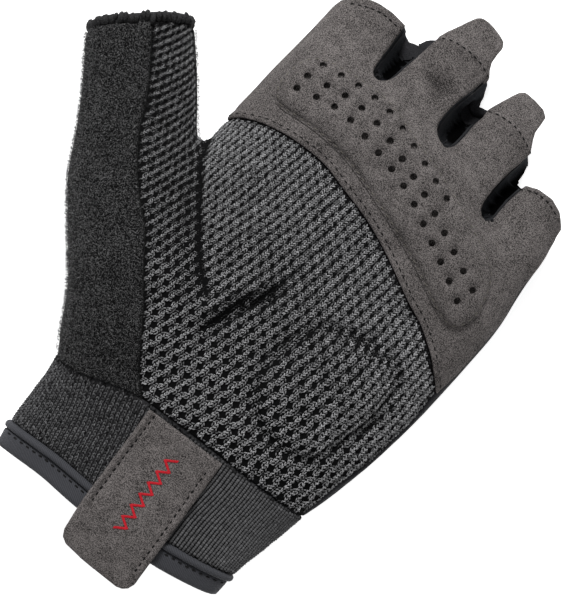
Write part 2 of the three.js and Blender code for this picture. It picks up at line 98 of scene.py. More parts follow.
def beside_thumb(x, y):
    """Place along the thumb and across it, towards the fingers."""
    dx, dy = x - THUMB_ROOT[0], y - THUMB_ROOT[1]
    c, s = math.cos(THUMB_ANGLE), math.sin(THUMB_ANGLE)
    return dx * c + dy * s, dx * s - dy * c


def tube(across, left, right, side, top, power=2.35):
    """Distance outside a rounded sleeve."""
    wide = np.where(across < 0, left, right)[..., None]
    side, top = side[..., None], top[..., None]
    high = np.where(high_z < side, side * 1.3, top - side)
    size = np.abs(across[..., None] / wide) ** power + np.abs((high_z - side) / high) ** power
    size = size ** (1 / power)
    slope = np.sqrt(sum(g ** 2 for g in np.gradient(size, STEP)))
    return (size - 1) / np.maximum(slope, 0.02)


def melt(a, b, reach):
    """Two forms in one, rounded into each other."""
    share = np.clip(0.5 + 0.5 * (b - a) / reach, 0, 1)
    return b * (1 - share) + a * share - reach * share * (1 - share)


palm_y = gy + fork_drop(gx, gy)
form = tube(gx, -smooth(palm_y, PALM, 1), smooth(palm_y, PALM, 2), smooth(palm_y, PALM, 3),
            smooth(palm_y, PALM, 4))
form = np.maximum(form, palm_y[..., None] - 84.0)
along, across = beside_thumb(gx, gy)
ball = tube(across, smooth(along, THUMB, 1), smooth(along, THUMB, 2), smooth(along, THUMB, 3),
            smooth(along, THUMB, 4))
form = melt(form, np.maximum(ball, -30.0 - along[..., None]), 8.0)
for rows in SLEEVES.values():
    half, top = smooth(gy, rows, 2), smooth(gy, rows, 3)
    sleeve = tube(gx - smooth(gy, rows, 1), half, half, 0.47 * top, top)
    form = melt(form, np.maximum(sleeve, rows[0][0] - gy[..., None]), 3.0)
form = -melt(-form, high_z + 0 * form, 2.5)


def skin_of(field):
    """Points and triangles of the surface where a field is nought."""
    inside = field < 0
    corners = np.array([(i, j, k) for i in (0, 1) for j in (0, 1) for k in (0, 1)])
    last = np.array(field.shape) - 1
    filled = sum(inside[i:last[0] + i, j:last[1] + j, k:last[2] + k].astype(np.int8) for i, j, k in corners)
    cells = np.argwhere((filled > 0) & (filled < 8))
    values = np.stack([field[tuple((cells + corner).T)] for corner in corners], axis=1)
    total, count = np.zeros((len(cells), 3)), np.zeros(len(cells))
    for a in range(8):
        for b in range(a + 1, 8):
            if np.abs(corners[a] - corners[b]).sum() != 1:
                continue
            crossed = (values[:, a] < 0) != (values[:, b] < 0)
            share = values[crossed, a] / (values[crossed, a] - values[crossed, b])
            total[crossed] += corners[a] + share[:, None] * (corners[b] - corners[a])
            count[crossed] += 1
    points = (cells + total / count[:, None]) * STEP + np.array([axis[0] for axis in grid])
    number = np.full(last, -1)
    number[tuple(cells.T)] = np.arange(len(cells))
    quads = []
    for axis in range(3):
        a, b = (axis + 1) % 3, (axis + 2) % 3
        low = np.take(inside, range(last[axis]), axis)
        at = np.argwhere(low != np.take(inside, range(1, last[axis] + 1), axis))
        at = at[(at[:, a] > 0) & (at[:, b] > 0) & (at[:, a] < last[a]) & (at[:, b] < last[b])]
        step_a, step_b = np.eye(3, dtype=int)[a], np.eye(3, dtype=int)[b]
        ring = [number[tuple((at - shift).T)] for shift in (0, step_a, step_a + step_b, step_b)]
        outward = low[tuple(at.T)]
        quads.append(np.stack([np.where(outward, ring[i], ring[-i]) for i in range(4)], axis=1))
    quads = np.concatenate(quads)
    return points, np.concatenate([quads[:, :3], quads[:, [0, 2, 3]]])


def gather(values, index, size):
    """Sums rows of values into the points that they belong to."""
    return np.stack([np.bincount(index, column, size) for column in values.T], axis=1)


def normals_of(points, triangles):
    a, b, c = (points[triangles[:, i]] for i in range(3))
    face = np.cross(b - a, c - a)
    total = sum(gather(face, triangles[:, i], len(points)) for i in range(3))
    return total / np.maximum(np.linalg.norm(total, axis=1, keepdims=True), 1e-9)


def edges_of(triangles):
    return np.concatenate([triangles[:, [0, 1]], triangles[:, [1, 2]], triangles[:, [2, 0]]])


def relaxed(points, triangles, rounds):
    """Points drawn towards their neighbours, which irons small steps out."""
    ends = edges_of(triangles)
    ends = np.concatenate([ends, ends[:, ::-1]])
    count = np.bincount(ends[:, 0], minlength=len(points))[:, None]
    for _ in range(rounds):
        points = points + 0.5 * (gather(points[ends[:, 1]], ends[:, 0], len(points)) / count - points)
    return points


skin_points, skin_triangles = skin_of(form)
skin_points = relaxed(skin_points, skin_triangles, 3)
skin_points[:, 2] = np.maximum(skin_points[:, 2], 0)


def flowing(points, count):
    """A smooth line through points, evenly spaced."""
    points = np.array(points, float)
    padded = np.concatenate([[2 * points[0] - points[1]], points, [2 * points[-1] - points[-2]]])
    fine = []
    for i in range(len(points) - 1):
        p0, p1, p2, p3 = padded[i:i + 4]
        t = np.linspace(0, 1, 24, endpoint=False)[:, None]
        fine.append(0.5 * (2 * p1 + (p2 - p0) * t + (2 * p0 - 5 * p1 + 4 * p2 - p3) * t ** 2
                           + (3 * p1 - p0 - 3 * p2 + p3) * t ** 3))
    fine = np.concatenate(fine + [points[-1:]])
    run = np.concatenate([[0], np.cumsum(np.linalg.norm(np.diff(fine, axis=0), axis=1))])
    places = np.linspace(0, run[-1], count)
    return np.stack([np.interp(places, run, column) for column in fine.T], axis=1)


def beside(line, x, y):
    """Distance from a line, positive on the left of its run, and the place along it."""
    best, squarest = np.full(len(x), np.inf), np.zeros(len(x))
    signed, place = np.zeros(len(x)), np.zeros(len(x))
    run = 0.0
    for (ax, ay), (bx, by) in zip(line, line[1:]):
        ux, uy = bx - ax, by - ay
        length = math.hypot(ux, uy)
        t = np.clip(((x - ax) * ux + (y - ay) * uy) / length ** 2, 0, 1)
        dx, dy = x - ax - t * ux, y - ay - t * uy
        near, square = np.hypot(dx, dy), (ux * dy - uy * dx) / length
        closer = (near < best - 1e-7) | ((near < best + 1e-7) & (np.abs(square) > squarest))
        best, squarest = np.where(closer, near, best), np.where(closer, np.abs(square), squarest)
        signed = np.where(closer, np.where(square > 0, near, -near), signed)
        place = np.where(closer, run + t * length, place)
        run += length
    return signed, place


def within(loop, x, y):
    """Distance inside a closed outline, negative outside it."""
    ring = np.concatenate([loop, loop[:1]])
    odd = np.zeros(len(x), bool)
    for (ax, ay), (bx, by) in zip(ring, ring[1:]):
        if ay != by:
            odd ^= ((ay > y) != (by > y)) & (x < (bx - ax) * (y - ay) / (by - ay) + ax)
    near = np.abs(beside(ring, x, y)[0])
    return np.where(odd, near, -near)


def bell(distance, reach):
    """One on the line itself, fading to nought beyond its reach."""
    return np.exp(-(distance / reach) ** 2)


# What the flat skin lacks: the ball of the thumb bulging beside a deep fold, the round pad at
# the heel of the hand under the knit, and a dimple where the middle finger starts.
FOLD = flowing([(-14.5, -27.0), (-12.1, -19.7), (-10.3, -14.3), (-8.8, -9.6), (-6.0, -6.2),
                (-4.7, -1.6), (-3.9, 2.2), (-5.2, 5.8)], 26)
HEEL_PAD = flowing([(7.7, -22.0), (6.9, -16.5), (7.4, -11.4), (8.9, -6.8), (11.8, -1.5), (15.1, 0.9),
                    (21.3, 3.1), (25.3, 4.1), (29.5, 4.7), (34.7, 4.1), (38.2, 1.7), (40.1, -3.6),
                    (40.4, -13.7), (37.7, -22.0), (35.2, -29.5), (30.0, -33.2), (23.5, -34.0),
                    (17.4, -33.2), (12.7, -30.2), (9.5, -26.0), (7.7, -22.0)], 60)[:-1]
DART = flowing([(-53.5, 29.0), (-51.1, 24.9), (-49.5, 21.4), (-47.0, 15.4), (-44.9, 12.2), (-40.5, 7.2),
                (-34.6, -0.1), (-30.5, -4.9), (-26.7, -8.7), (-23.8, -11.3), (-19.2, -14.5)], 30)
SLOTS = {
    "index_middle": flowing([(-27.5, 99), (-26.6, 90), (-26.2, 82), (-25.9, 76.6), (-25.4, 70.5),
                             (-25.0, 67.9), (-24.0, 66.4), (-22.1, 65.9), (-20.6, 66.6), (-19.1, 68.6),
                             (-18.3, 71.7), (-18.0, 75.5), (-17.1, 82.0), (-16.2, 89.0), (-15.6, 99)], 44),
    "middle_ring": flowing([(3.4, 99), (2.4, 90.3), (1.3, 82.5), (-0.1, 75.8), (-0.3, 69.5),
                            (0.3, 66.8), (2.0, 64.9), (4.5, 63.7), (7.0, 64.2), (8.1, 65.9),
                            (8.6, 70.0), (8.8, 75.9), (9.8, 82.7), (11.5, 99)], 44),
    "ring_little": flowing([(28.0, 99), (26.7, 80.0), (25.3, 70.6), (24.8, 63.8), (25.2, 57.7),
                            (26.8, 55.4), (28.9, 54.8), (30.2, 55.3), (30.9, 57.2), (31.0, 61.1),
                            (31.3, 65.7), (32.2, 71.0), (34.5, 99)], 44),
}
BALL_RISE = 3.0
FOLD_LIP = 1.7
FOLD_DEPTH = 1.2
HEEL_RISE = 2.1
HEEL_DEPTH = 0.7
DART_DEPTH = 0.6
DIMPLE = (-7.2, 77.2)
DIMPLE_DEPTH = 2.4
SLOT_DEPTH = 5.5
skin_normals = normals_of(skin_points, skin_triangles)
px, py = skin_points[:, 0], skin_points[:, 1]
facing = np.clip(skin_normals[:, 2] * 2, 0, 1)
fold_side, fold_place = beside(FOLD, px, py)
fold_middle = np.clip(np.minimum(fold_place, 36 - fold_place) / 9, 0, 1)
ball_along, ball_across = beside_thumb(px, py)
relief = BALL_RISE * bell(np.hypot((ball_along - 4) / 1.5, ball_across - 13), 12.0)
relief += fold_middle * (FOLD_LIP * bell(fold_side - 5.0, 3.8) - FOLD_DEPTH * bell(fold_side, 2.4))
heel = within(HEEL_PAD, px, py)
relief += HEEL_RISE * (1 - (1 - np.clip((heel + 0.6) / 9.0, 0, 1)) ** 2)
relief -= HEEL_DEPTH * bell(heel + 1.2, 2.2)
dart_side, dart_place = beside(DART, px, py)
relief -= DART_DEPTH * bell(dart_side, 1.4)
dimple = bell(np.hypot((px - DIMPLE[0]) / 1.5, (py - DIMPLE[1]) / 0.85), 4.2)
relief -= DIMPLE_DEPTH * dimple
# painted shade: how deep a place lies in the fold, the heel's groove, the dart and the dimple, which darkens
# the yarn and the suede there later
hollow_shade = fold_middle * bell(fold_side - 1.2, 3.0) + 0.42 * bell(heel + 0.8, 2.2)
hollow_shade = hollow_shade + 0.3 * bell(dart_side, 1.2)
hollow_shade = np.maximum(np.clip(hollow_shade, 0, 1), 0.55 * dimple)


def across_slot(slot, x, y):
    """Distance inside a slot, and the share of the way from its left edge to its right one."""
    tip = int(np.argmin(slot[:, 1]))
    left, right = (np.abs(beside(side, x, y)[0]) for side in (slot[:tip + 1], slot[tip:]))
    return within(slot, x, y), left / (left + right + 1e-6)


for slot in SLOTS.values():
    inside, share = across_slot(slot, px, py)
    valley = np.clip(np.minimum(share / 0.68, (1 - share) / 0.3), 0.12, 1)
    relief -= SLOT_DEPTH * np.clip((inside + 0.3) / 1.2, 0, 1) * valley
# the slack of worn cloth
relief += 0.28 * np.sin(px * 0.21 + 0.6) * np.sin(py * 0.17 + 1.1) + 0.2 * np.sin(px * 0.13 - py * 0.31)
skin_points = skin_points + skin_normals * (relief * facing)[:, None]
skin_normals = normals_of(skin_points, skin_triangles)
# columns: place, normal, distance to the nearest cut edge, painted shade by depth in a fold
uncut = np.full((len(skin_points), 1), 99.0)
skin = (np.concatenate([skin_points, skin_normals, uncut, hollow_shade[:, None]], axis=1), skin_triangles)


# Back of the hand and of the fingers: one plain dark cloth that wraps round both sides. Its seam
# with the palm side runs just above the widest place on the little finger's side, and it reaches
# in a little under the suede. Each panel is cut from the skin by such seams.


def cut(sheet, keep):
    """The part of a sheet where keep is above nought, cut cleanly along its nought line."""
    points, triangles = sheet
    keep = np.where(np.abs(keep) < 0.06, 0.001, keep)
    kept = keep > 0
    count = kept[triangles].sum(axis=1)
    one, two = triangles[count == 1], triangles[count == 2]
    first = np.argmax(kept[one], axis=1)
    one = np.stack([one[np.arange(len(one)), (first + i) % 3] for i in range(3)], axis=1)
    first = np.argmax(~kept[two], axis=1)
    two = np.stack([two[np.arange(len(two)), (first + i) % 3] for i in range(3)], axis=1)
    ends = np.concatenate([one[:, [0, 1]], one[:, [0, 2]], two[:, [0, 1]], two[:, [0, 2]]])
    pairs, where = np.unique(np.sort(ends, axis=1), axis=0, return_inverse=True)
    where = where.reshape(-1) + len(points)
    share = (keep[pairs[:, 0]] / (keep[pairs[:, 0]] - keep[pairs[:, 1]]))[:, None]
    edge = points[pairs[:, 0]] * (1 - share) + points[pairs[:, 1]] * share
    edge[:, 6] = 0
    n1, n2 = len(one), len(two)
    one_b, one_c = where[:n1], where[n1:2 * n1]
    two_b, two_c = where[2 * n1:2 * n1 + n2], where[2 * n1 + n2:]
    triangles = np.concatenate([
        triangles[count == 3], np.stack([one[:, 0], one_b, one_c], axis=1),
        np.stack([two_b, two[:, 1], two[:, 2]], axis=1), np.stack([two_b, two[:, 2], two_c], axis=1)])
    points = points.copy()
    points[:, 6] = np.minimum(points[:, 6], np.maximum(keep, 0))
    points = np.concatenate([points, edge])
    used, triangles = np.unique(triangles, return_inverse=True)
    return points[used], triangles.reshape(-1, 3)


def trimmed(sheet, *rules):
    """A sheet cut by one rule after another; each rule takes places and gives what to keep."""
    for rule in rules:
        points = sheet[0]
        sheet = cut(sheet, rule(points[:, 0], points[:, 1], points[:, 2]))
    return sheet


def linked(name, data):
    thing = bpy.data.objects.new(name, data)
    bpy.context.scene.collection.objects.link(thing)
    return thing


def attach(mesh, label, values):
    """Gives each vertex of a mesh a number or a vector under a label."""
    kind, field = ("FLOAT", "value") if values.ndim == 1 else ("FLOAT_VECTOR", "vector")
    layer = mesh.attributes.new(label, kind, "POINT")
    layer.data.foreach_set(field, values.astype(np.float32).ravel())


def smooth_piece(name, vertices, faces, finish):
    """A smooth piece in the scene, from vertices in millimetres."""
    mesh = bpy.data.meshes.new(name)
    mesh.from_pydata((vertices * 0.001).tolist(), [], faces)
    mesh.polygons.foreach_set("use_smooth", np.ones(len(faces), bool))
    mesh.materials.append(finish)
    mesh.update()
    return linked(name, mesh)


EDGE_REACH = 0.6
EDGE_DROP = 0.22
EDGE_BULGE = 0.16


def cloth(name, sheet, thickness, finish, rise=0.0, uv=None, extra=None):
    """A cloth or leather panel with its thickness, a rounded edge and smooth faces."""
    points, triangles = sheet
    place, normal, edge = points[:, :3], points[:, 3:6], points[:, 6]
    rise = np.broadcast_to(rise, len(points))
    size = len(points)
    ends = edges_of(triangles)
    keys = ends[:, 0] * size + ends[:, 1]
    back = ends[:, 1] * size + ends[:, 0]
    border = ends[~np.isin(keys, back)]
    rim, where = np.unique(border, return_inverse=True)
    where = where.reshape(-1, 2)
    run = place[border[:, 1]] - place[border[:, 0]]
    outward = np.cross(run, normal[border[:, 0]])
    outward = gather(outward, where[:, 0], len(rim)) + gather(outward, where[:, 1], len(rim))
    outward /= np.maximum(np.linalg.norm(outward, axis=1, keepdims=True), 1e-9)
    drop = EDGE_DROP * thickness * np.clip(1 - edge / EDGE_REACH, 0, 1) ** 2
    top = place + normal * (rise - drop)[:, None]
    under = place + normal * (rise - thickness + drop)[:, None]
    middle = (top[rim] + under[rim]) / 2
    bulge = EDGE_BULGE * thickness
    rows = [middle + (top[rim] - middle) * 0.55 + outward * bulge * 0.8,
            middle - (top[rim] - middle) * 0.55 + outward * bulge * 0.8]
    vertices = np.concatenate([top, under, *rows])
    vertices[:, 2] = np.maximum(vertices[:, 2], 0.0)
    source = np.concatenate([np.arange(size), np.arange(size), rim, rim])
    ladder = [rim, 2 * size + np.arange(len(rim)), 2 * size + len(rim) + np.arange(len(rim)), size + rim]
    one, two = where.T
    quads = np.concatenate([np.stack([up[two], up[one], down[one], down[two]], axis=1)
                            for up, down in zip(ladder, ladder[1:])])
    faces = triangles.tolist() + (triangles[:, ::-1] + size).tolist() + quads.tolist()
    piece = smooth_piece(name, vertices, faces, finish)
    mesh = piece.data
    corner = np.empty(len(mesh.loops), np.int32)
    mesh.loops.foreach_get("vertex_index", corner)
    uv = place[:, :2] if uv is None else uv
    mesh.uv_layers.new(name="UVMap").data.foreach_set("uv", uv[source][corner].astype(np.float32).ravel())
    for label, values in (extra or {}).items():
        attach(mesh, label, values[source])
    return piece


def new_finish(name, roughness, sheen=0.0):
    """A dull material with its node tree and its shader."""
    finish = bpy.data.materials.new(name)
    finish.use_nodes = True
    tree = finish.node_tree
    shader = tree.nodes["Principled BSDF"]
    shader.inputs["Roughness"].default_value = roughness
    shader.inputs["Specular IOR Level"].default_value = 0.1
    shader.inputs["Sheen Weight"].default_value = sheen
    shader.inputs["Sheen Roughness"].default_value = 0.5
    return finish, tree, shader


def add(tree, kind, inputs=None, **settings):
    """A node with its settings; an input is a value or another node's output."""
    made = tree.nodes.new(kind)
    for key, value in settings.items():
        setattr(made, key, value)
    for key, value in (inputs or {}).items():
        if isinstance(value, bpy.types.NodeSocket):
            tree.links.new(value, made.inputs[key])
        else:
            made.inputs[key].default_value = value
    return made


def sums(tree, operation, a, b=0.0, c=0.0):
    return add(tree, "ShaderNodeMath", {0: a, 1: b, 2: c}, operation=operation).outputs[0]


def noise(tree, vector, scale, roughness):
    settings = {"Vector": vector, "Scale": scale, "Detail": 3.0, "Roughness": roughness}
    return add(tree, "ShaderNodeTexNoise", settings).outputs["Fac"]


def dressed(tree, shader, tone, stops, height, strength, depth):
    """Gives a shader its colour between two (tone, colour) stops, and bumps of a depth."""
    ramp = add(tree, "ShaderNodeValToRGB", {"Fac": tone})
    for stop, (place, colour) in zip(ramp.color_ramp.elements, stops):
        stop.position = place
        stop.color = (*colour, 1)
    tree.links.new(ramp.outputs["Color"], shader.inputs["Base Color"])
    bump = add(tree, "ShaderNodeBump", {"Height": height, "Strength": strength, "Distance": depth * 0.001})
    tree.links.new(bump.outputs["Normal"], shader.inputs["Normal"])


# the speckle of short fibres, which every napped cloth shares
nap = bpy.data.node_groups.new("nap", "ShaderNodeTree")
for label, side, kind in (("Vector", "INPUT", "NodeSocketVector"), ("Fibre", "INPUT", "NodeSocketFloat"),
                          ("Contrast", "INPUT", "NodeSocketFloat"), ("Mottle", "INPUT", "NodeSocketFloat"),
                          ("Shade", "OUTPUT", "NodeSocketFloat"), ("Height", "OUTPUT", "NodeSocketFloat")):
    nap.interface.new_socket(label, in_out=side, socket_type=kind)
nap_in = nap.nodes.new("NodeGroupInput").outputs
nap_out = nap.nodes.new("NodeGroupOutput").inputs
fine = noise(nap, nap_in["Vector"], nap_in["Fibre"], 0.75)
broad = noise(nap, nap_in["Vector"], 0.22, 0.6)
speck = sums(nap, "MULTIPLY_ADD", sums(nap, "SUBTRACT", fine, 0.5), nap_in["Contrast"], 0.5)
mottled = sums(nap, "MULTIPLY_ADD", sums(nap, "SUBTRACT", broad, 0.5), nap_in["Mottle"],
               speck)
nap.links.new(mottled, nap_out["Shade"])
nap.links.new(fine, nap_out["Height"])


def napped(name, dark, light, fibre, contrast, depth, roughness, sheen=0.0, mottle=0.28):
    """A napped cloth: speckled between two colours, with the fibres as bumps."""
    finish, tree, shader = new_finish(name, roughness, sheen)
    place = add(tree, "ShaderNodeTexCoord").outputs["Object"]
    place = add(tree, "ShaderNodeVectorMath", {0: place, "Scale": 1000.0}, operation="SCALE").outputs[0]
    pile = add(tree, "ShaderNodeGroup", node_tree=nap)
    tree.links.new(place, pile.inputs["Vector"])
    for label, value in (("Fibre", fibre), ("Contrast", contrast), ("Mottle", mottle)):
        pile.inputs[label].default_value = value
    dressed(tree, shader, pile.outputs["Shade"], [(0.2, dark), (0.8, light)], pile.outputs["Height"], 0.6,
            depth)
    return finish


def ride(piece, slot, *nodes):
    """Puts a finished piece on the glove, in place of its plain solids."""
    if nodes:
        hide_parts(*nodes)
    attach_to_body(piece, "root")
    return piece


HALF_GAP = 0.15
CUFF_SEAM = flowing([(-70, -51), (-47.5, -52.5), (-43.2, -57.4), (-36.6, -57.2), (-26.6, -53.6),
                     (-18.5, -50.8), (-7.4, -49.7), (13.4, -48.7), (34.7, -48.1), (44.5, -47.3),
                     (60, -46)], 50)
FINGER_ENDS = np.array([
    (-60, 70), (-47.6, 74.0), (-45.9, 79.0), (-43.6, 81.6), (-40.5, 83.2), (-36.3, 84.3), (-31.6, 84.7),
    (-26.0, 84.3), (-22.0, 83.0), (-19.6, 81.4), (-19.2, 86.5), (-17.6, 88.7), (-14.5, 89.8), (-9.6, 91.1),
    (-4.3, 91.4), (1.0, 90.4), (4.2, 88.0), (6.0, 84.6), (6.4, 80.0), (8.0, 81.6), (11.0, 82.8),
    (16.0, 83.2), (21.5, 82.3), (26.2, 80.4), (28.9, 77.8), (29.7, 74.5), (29.9, 69.4), (32.0, 71.2),
    (35.5, 72.6), (40.5, 72.9), (44.6, 71.6), (48.4, 68.6), (50.5, 64), (70, 40)])
BACK_SEAM = flowing([(-54.5, 33), (-53.0, 24), (-46, 6), (-40, -20), (-41.5, -42), (-43, -70)], 30)
THUMB_END = flowing([(-110, 16.5), (-101.5, 24.2), (-96.6, 29.6), (-90.8, 34.6), (-84.2, 41.0),
                     (-78.4, 45.8), (-72.5, 49.6), (-66, 53)], 30)
BACK_LAP = 0.9


def side_seam(x, y):
    """Height of the seam between the palm side and the back."""
    right = np.interp(y, [-60, 30, 46, 72], [15.8, 16.4, 14.8, 11.0])
    left = np.interp(y, [-60, 40, 60], [8.0, 8.0, 7.6])
    return left + (right - left) * np.clip((x - 34) / 12, 0, 1)


def above_cuff(x, y, z):
    return beside(CUFF_SEAM, x, y)[0] - HALF_GAP


def below_ends(x, y, z):
    return -beside(FINGER_ENDS, x, y)[0]


def inside_thumb_end(x, y, z):
    return np.where(x < -60, -beside(THUMB_END, x, y)[0] - 0.1, -9.0)


def palm_side(x, y, z):
    return z - side_seam(x, y) - HALF_GAP


def back_side(x, y, z):
    return side_seam(x, y) - HALF_GAP - z


def back_lap(x, y, z):
    """The same with the lap under the suede, which starts further up on the left."""
    return back_side(x, y, z) + BACK_LAP * np.clip((y - np.interp(x, [-50, 50], [31, 9])) / 1.5, 0, 1)


def fingers_side(x, y, z):
    return beside(BACK_SEAM, x, y)[0] - HALF_GAP


back_finish = napped(
    "back_cloth", (0.007, 0.007, 0.008), (0.036, 0.036, 0.040),
    fibre=3.2, contrast=1.6, depth=0.12, roughness=0.8)
back_sheet = trimmed(skin, back_lap, above_cuff, below_ends, fingers_side)
at = back_sheet[0][:, :3].T
tucked = np.clip(0.5 - back_side(*at) / 0.8, 0, 1) * (back_lap(*at) > back_side(*at) + 0.5)
ride(cloth("back_panel_cloth", back_sheet, 1.3, back_finish, rise=-0.42 * tucked), "back_cloth",
     "back_panel")

# Knit over the lower palm and the inner side of the thumb, one piece darted from the web to the
# ball of the thumb. It is a mesh knit: rope-like rows near the fingers, opening into round
# holes towards the cuff.
SUEDE_SEAM = flowing([(-56, 22.5), (-53.2, 24.9), (-50.0, 28.6), (-47.1, 31.4), (-43.2, 33.3),
                      (-38.7, 34.9), (-29.8, 36.5), (-18.4, 36.7), (-8.7, 34.6), (2.6, 31.9),
                      (13.5, 27.8), (25.7, 22.1), (33.8, 19.0), (41.0, 14.8), (46.1, 10.9), (50.8, 7.0),
                      (57, 1.4), (64, -5)], 60)
TERRY_SEAM = flowing([(-92, 47.5), (-85.4, 38.4), (-80.9, 32.4), (-75.1, 24.7), (-69.9, 17.0),
                      (-66.7, 10.6), (-61.5, 3.6), (-56.5, -2.0), (-50.6, -7.2), (-45.9, -11.1),
                      (-38.7, -20.0), (-32.6, -27.3), (-25.9, -36.6), (-22.1, -42.5), (-19.2, -45.9),
                      (-15.4, -49.8), (-11, -55)], 60)
THUMB_ROOT_X = -54.2
KNIT_LAP = 1.3


def suede_side(x, y, z):
    return np.where(x > THUMB_ROOT_X, beside(SUEDE_SEAM, x, y)[0], -9.0) - HALF_GAP


def knit_side(x, y, z):
    return -beside(SUEDE_SEAM, x, y)[0] - HALF_GAP + np.where(x < THUMB_ROOT_X, 99.0, 0.0)


def inner_thumb(x, y, z):
    return beside(TERRY_SEAM, x, y)[0] - 0.1


def thumb_hem(x, y, z):
    return -beside(THUMB_END, x, y)[0] - 2.7


# Yarn of the knit: small bent loops, leaning left and right in turn, planted in rows over the
# ground and pushed aside round the holes. A row runs mostly along the hand and turns with it.
# Where a name has two lists, the first is places along the rows and the second the values there.
PALM_KNIT = {"row": 2.83, "across": 4, "loop": 0.91, "width": 0.47, "lean": 0.6, "uneven": 0.09,
             "stray": 0.08, "tone": ([-50, -5, 30], [0.09, 0.05, 0.15]),
             "groove": ([-25, 20], [0.30, 0.44]),
             "pitch": ([-60, -25, 25, 60], [4.7, 4.5, 3.2, 3.0]),
             "hole": ([-60, -25, 5, 40], [1.22, 1.12, 0.62, 0.46]), "long": ([-25, 25], [1.0, 1.8]),
             "plump": ([-25, 15], [0.84, 1.05]), "twist": ([-30, 10], [0.02, 0.13])}
THUMB_KNIT = dict(PALM_KNIT, tone=([-35, -8], [0.06, -0.07]), pitch=([-20, 25], [4.4, 3.5]),
                  hole=([-20, 25], [1.1, 0.56]), long=([-15, 20], [1.1, 2.0]))
ROW_TURN = math.radians(79)
PALM_FAN = -0.00114 * (1 + 1j)
THUMB_FAN = 0.00045 - 0.00246j
JOINT = complex(-30, -20)
DART_HOOK = np.concatenate([DART, [(-20.4, -17.2), (-25.0, -21.5), (-31.0, -25.2), (-40, -30), (-60, -40)]])


def planting_tree(name, shape_of):
    """Nodes that plant one small shape at each point, along its run and with its back up."""
    tree = bpy.data.node_groups.new(name, "GeometryNodeTree")
    for label, kind in (("Points", "NodeSocketGeometry"), ("Length", "NodeSocketFloat"),
                        ("Width", "NodeSocketFloat"), ("Thread", "NodeSocketMaterial")):
        tree.interface.new_socket(label, in_out="INPUT", socket_type=kind)
    tree.interface.new_socket("Planted", in_out="OUTPUT", socket_type="NodeSocketGeometry")
    given = tree.nodes.new("NodeGroupInput").outputs
    result = tree.nodes.new("NodeGroupOutput").inputs
    named = [add(tree, "GeometryNodeInputNamedAttribute", {"Name": label},
                 data_type=kind).outputs["Attribute"]
             for label, kind in (("run", "FLOAT_VECTOR"), ("up", "FLOAT_VECTOR"), ("size", "FLOAT"))]
    turned = add(tree, "FunctionNodeAlignRotationToVector", {"Vector": named[0]}, axis="X")
    turned = add(tree, "FunctionNodeAlignRotationToVector",
                 {"Rotation": turned.outputs[0], "Vector": named[1]}, axis="Z", pivot_axis="X")
    shape = shape_of(tree, given["Length"], given["Width"])
    placed = add(tree, "GeometryNodeInstanceOnPoints",
                 {"Points": given["Points"], "Instance": shape, "Rotation": turned.outputs[0],
                  "Scale": named[2]})
    whole = add(tree, "GeometryNodeRealizeInstances", {0: placed.outputs[0]})
    soft = add(tree, "GeometryNodeSetShadeSmooth", {0: whole.outputs[0]})
    threaded = add(tree, "GeometryNodeSetMaterial", {0: soft.outputs[0], "Material": given["Thread"]})
    tree.links.new(threaded.outputs[0], result[0])
    return tree


def yarn_loop(tree, length, width):
    """A plump length of yarn, bent down at both ends."""
    ball = add(tree, "GeometryNodeMeshUVSphere", {"Segments": 5, "Rings": 4, "Radius": 0.5})
    laid = add(tree, "GeometryNodeTransform", {"Geometry": ball.outputs[0],
                                               "Rotation": (0, math.pi / 2, 0)})
    size = add(tree, "ShaderNodeCombineXYZ", {"X": length, "Y": width,
                                              "Z": sums(tree, "MULTIPLY", width, 0.85)})
    sized = add(tree, "GeometryNodeTransform", {"Geometry": laid.outputs[0], "Scale": size.outputs[0]})
    spot = add(tree, "GeometryNodeInputPosition").outputs[0]
    x = add(tree, "ShaderNodeSeparateXYZ", {0: spot}).outputs["X"]
    sag = sums(tree, "MULTIPLY", sums(tree, "DIVIDE", sums(tree, "MULTIPLY", x, x), length), -0.9)
    bend = add(tree, "ShaderNodeCombineXYZ", {"Z": sag})
    return add(tree, "GeometryNodeSetPosition",
               {"Geometry": sized.outputs[0], "Offset": bend.outputs[0]}).outputs[0]


def planted(name, tree, places, runs, ups, sizes, tones, length, width, finish):
    """Shapes planted at places (in millimetres) as one plain mesh."""
    mesh = bpy.data.meshes.new(name)
    mesh.from_pydata((places * 0.001).tolist(), [], [])
    for label, values in (("run", runs), ("up", ups), ("size", sizes), ("tone", tones)):
        attach(mesh, label, values)
    bed = linked(name + "_points", mesh)
    modifier = bed.modifiers.new(name, "NODES")
    modifier.node_group = tree
    values = {"Length": length * 0.001, "Width": width * 0.001, "Thread": finish}
    for item in tree.interface.items_tree:
        if item.name in values:
            modifier[item.identifier] = values[item.name]
    plain = bpy.data.meshes.new_from_object(bed.evaluated_get(bpy.context.evaluated_depsgraph_get()))
    plain.name = name
    bpy.data.objects.remove(bed)
    return linked(name, plain)


def unrolled(points):
    """Places on the skin as if it were flattened from the top of the hand."""
    x, y, z = points[:, 0], points[:, 1], points[:, 2]
    crown = smooth(y + fork_drop(x, y), PALM, 4)
    return np.stack([x + np.tanh(x / 12) * 0.8 * np.maximum(crown - z, 0), y], axis=1)


def palm_map(points):
    """Places on the palm's knit: along its rows, and across them."""
    x, y = unrolled(points).T
    z = x + 1j * y
    w = np.exp(-1j * ROW_TURN) * (z + PALM_FAN * z ** 2)
    return np.stack([w.real, w.imag], axis=1)


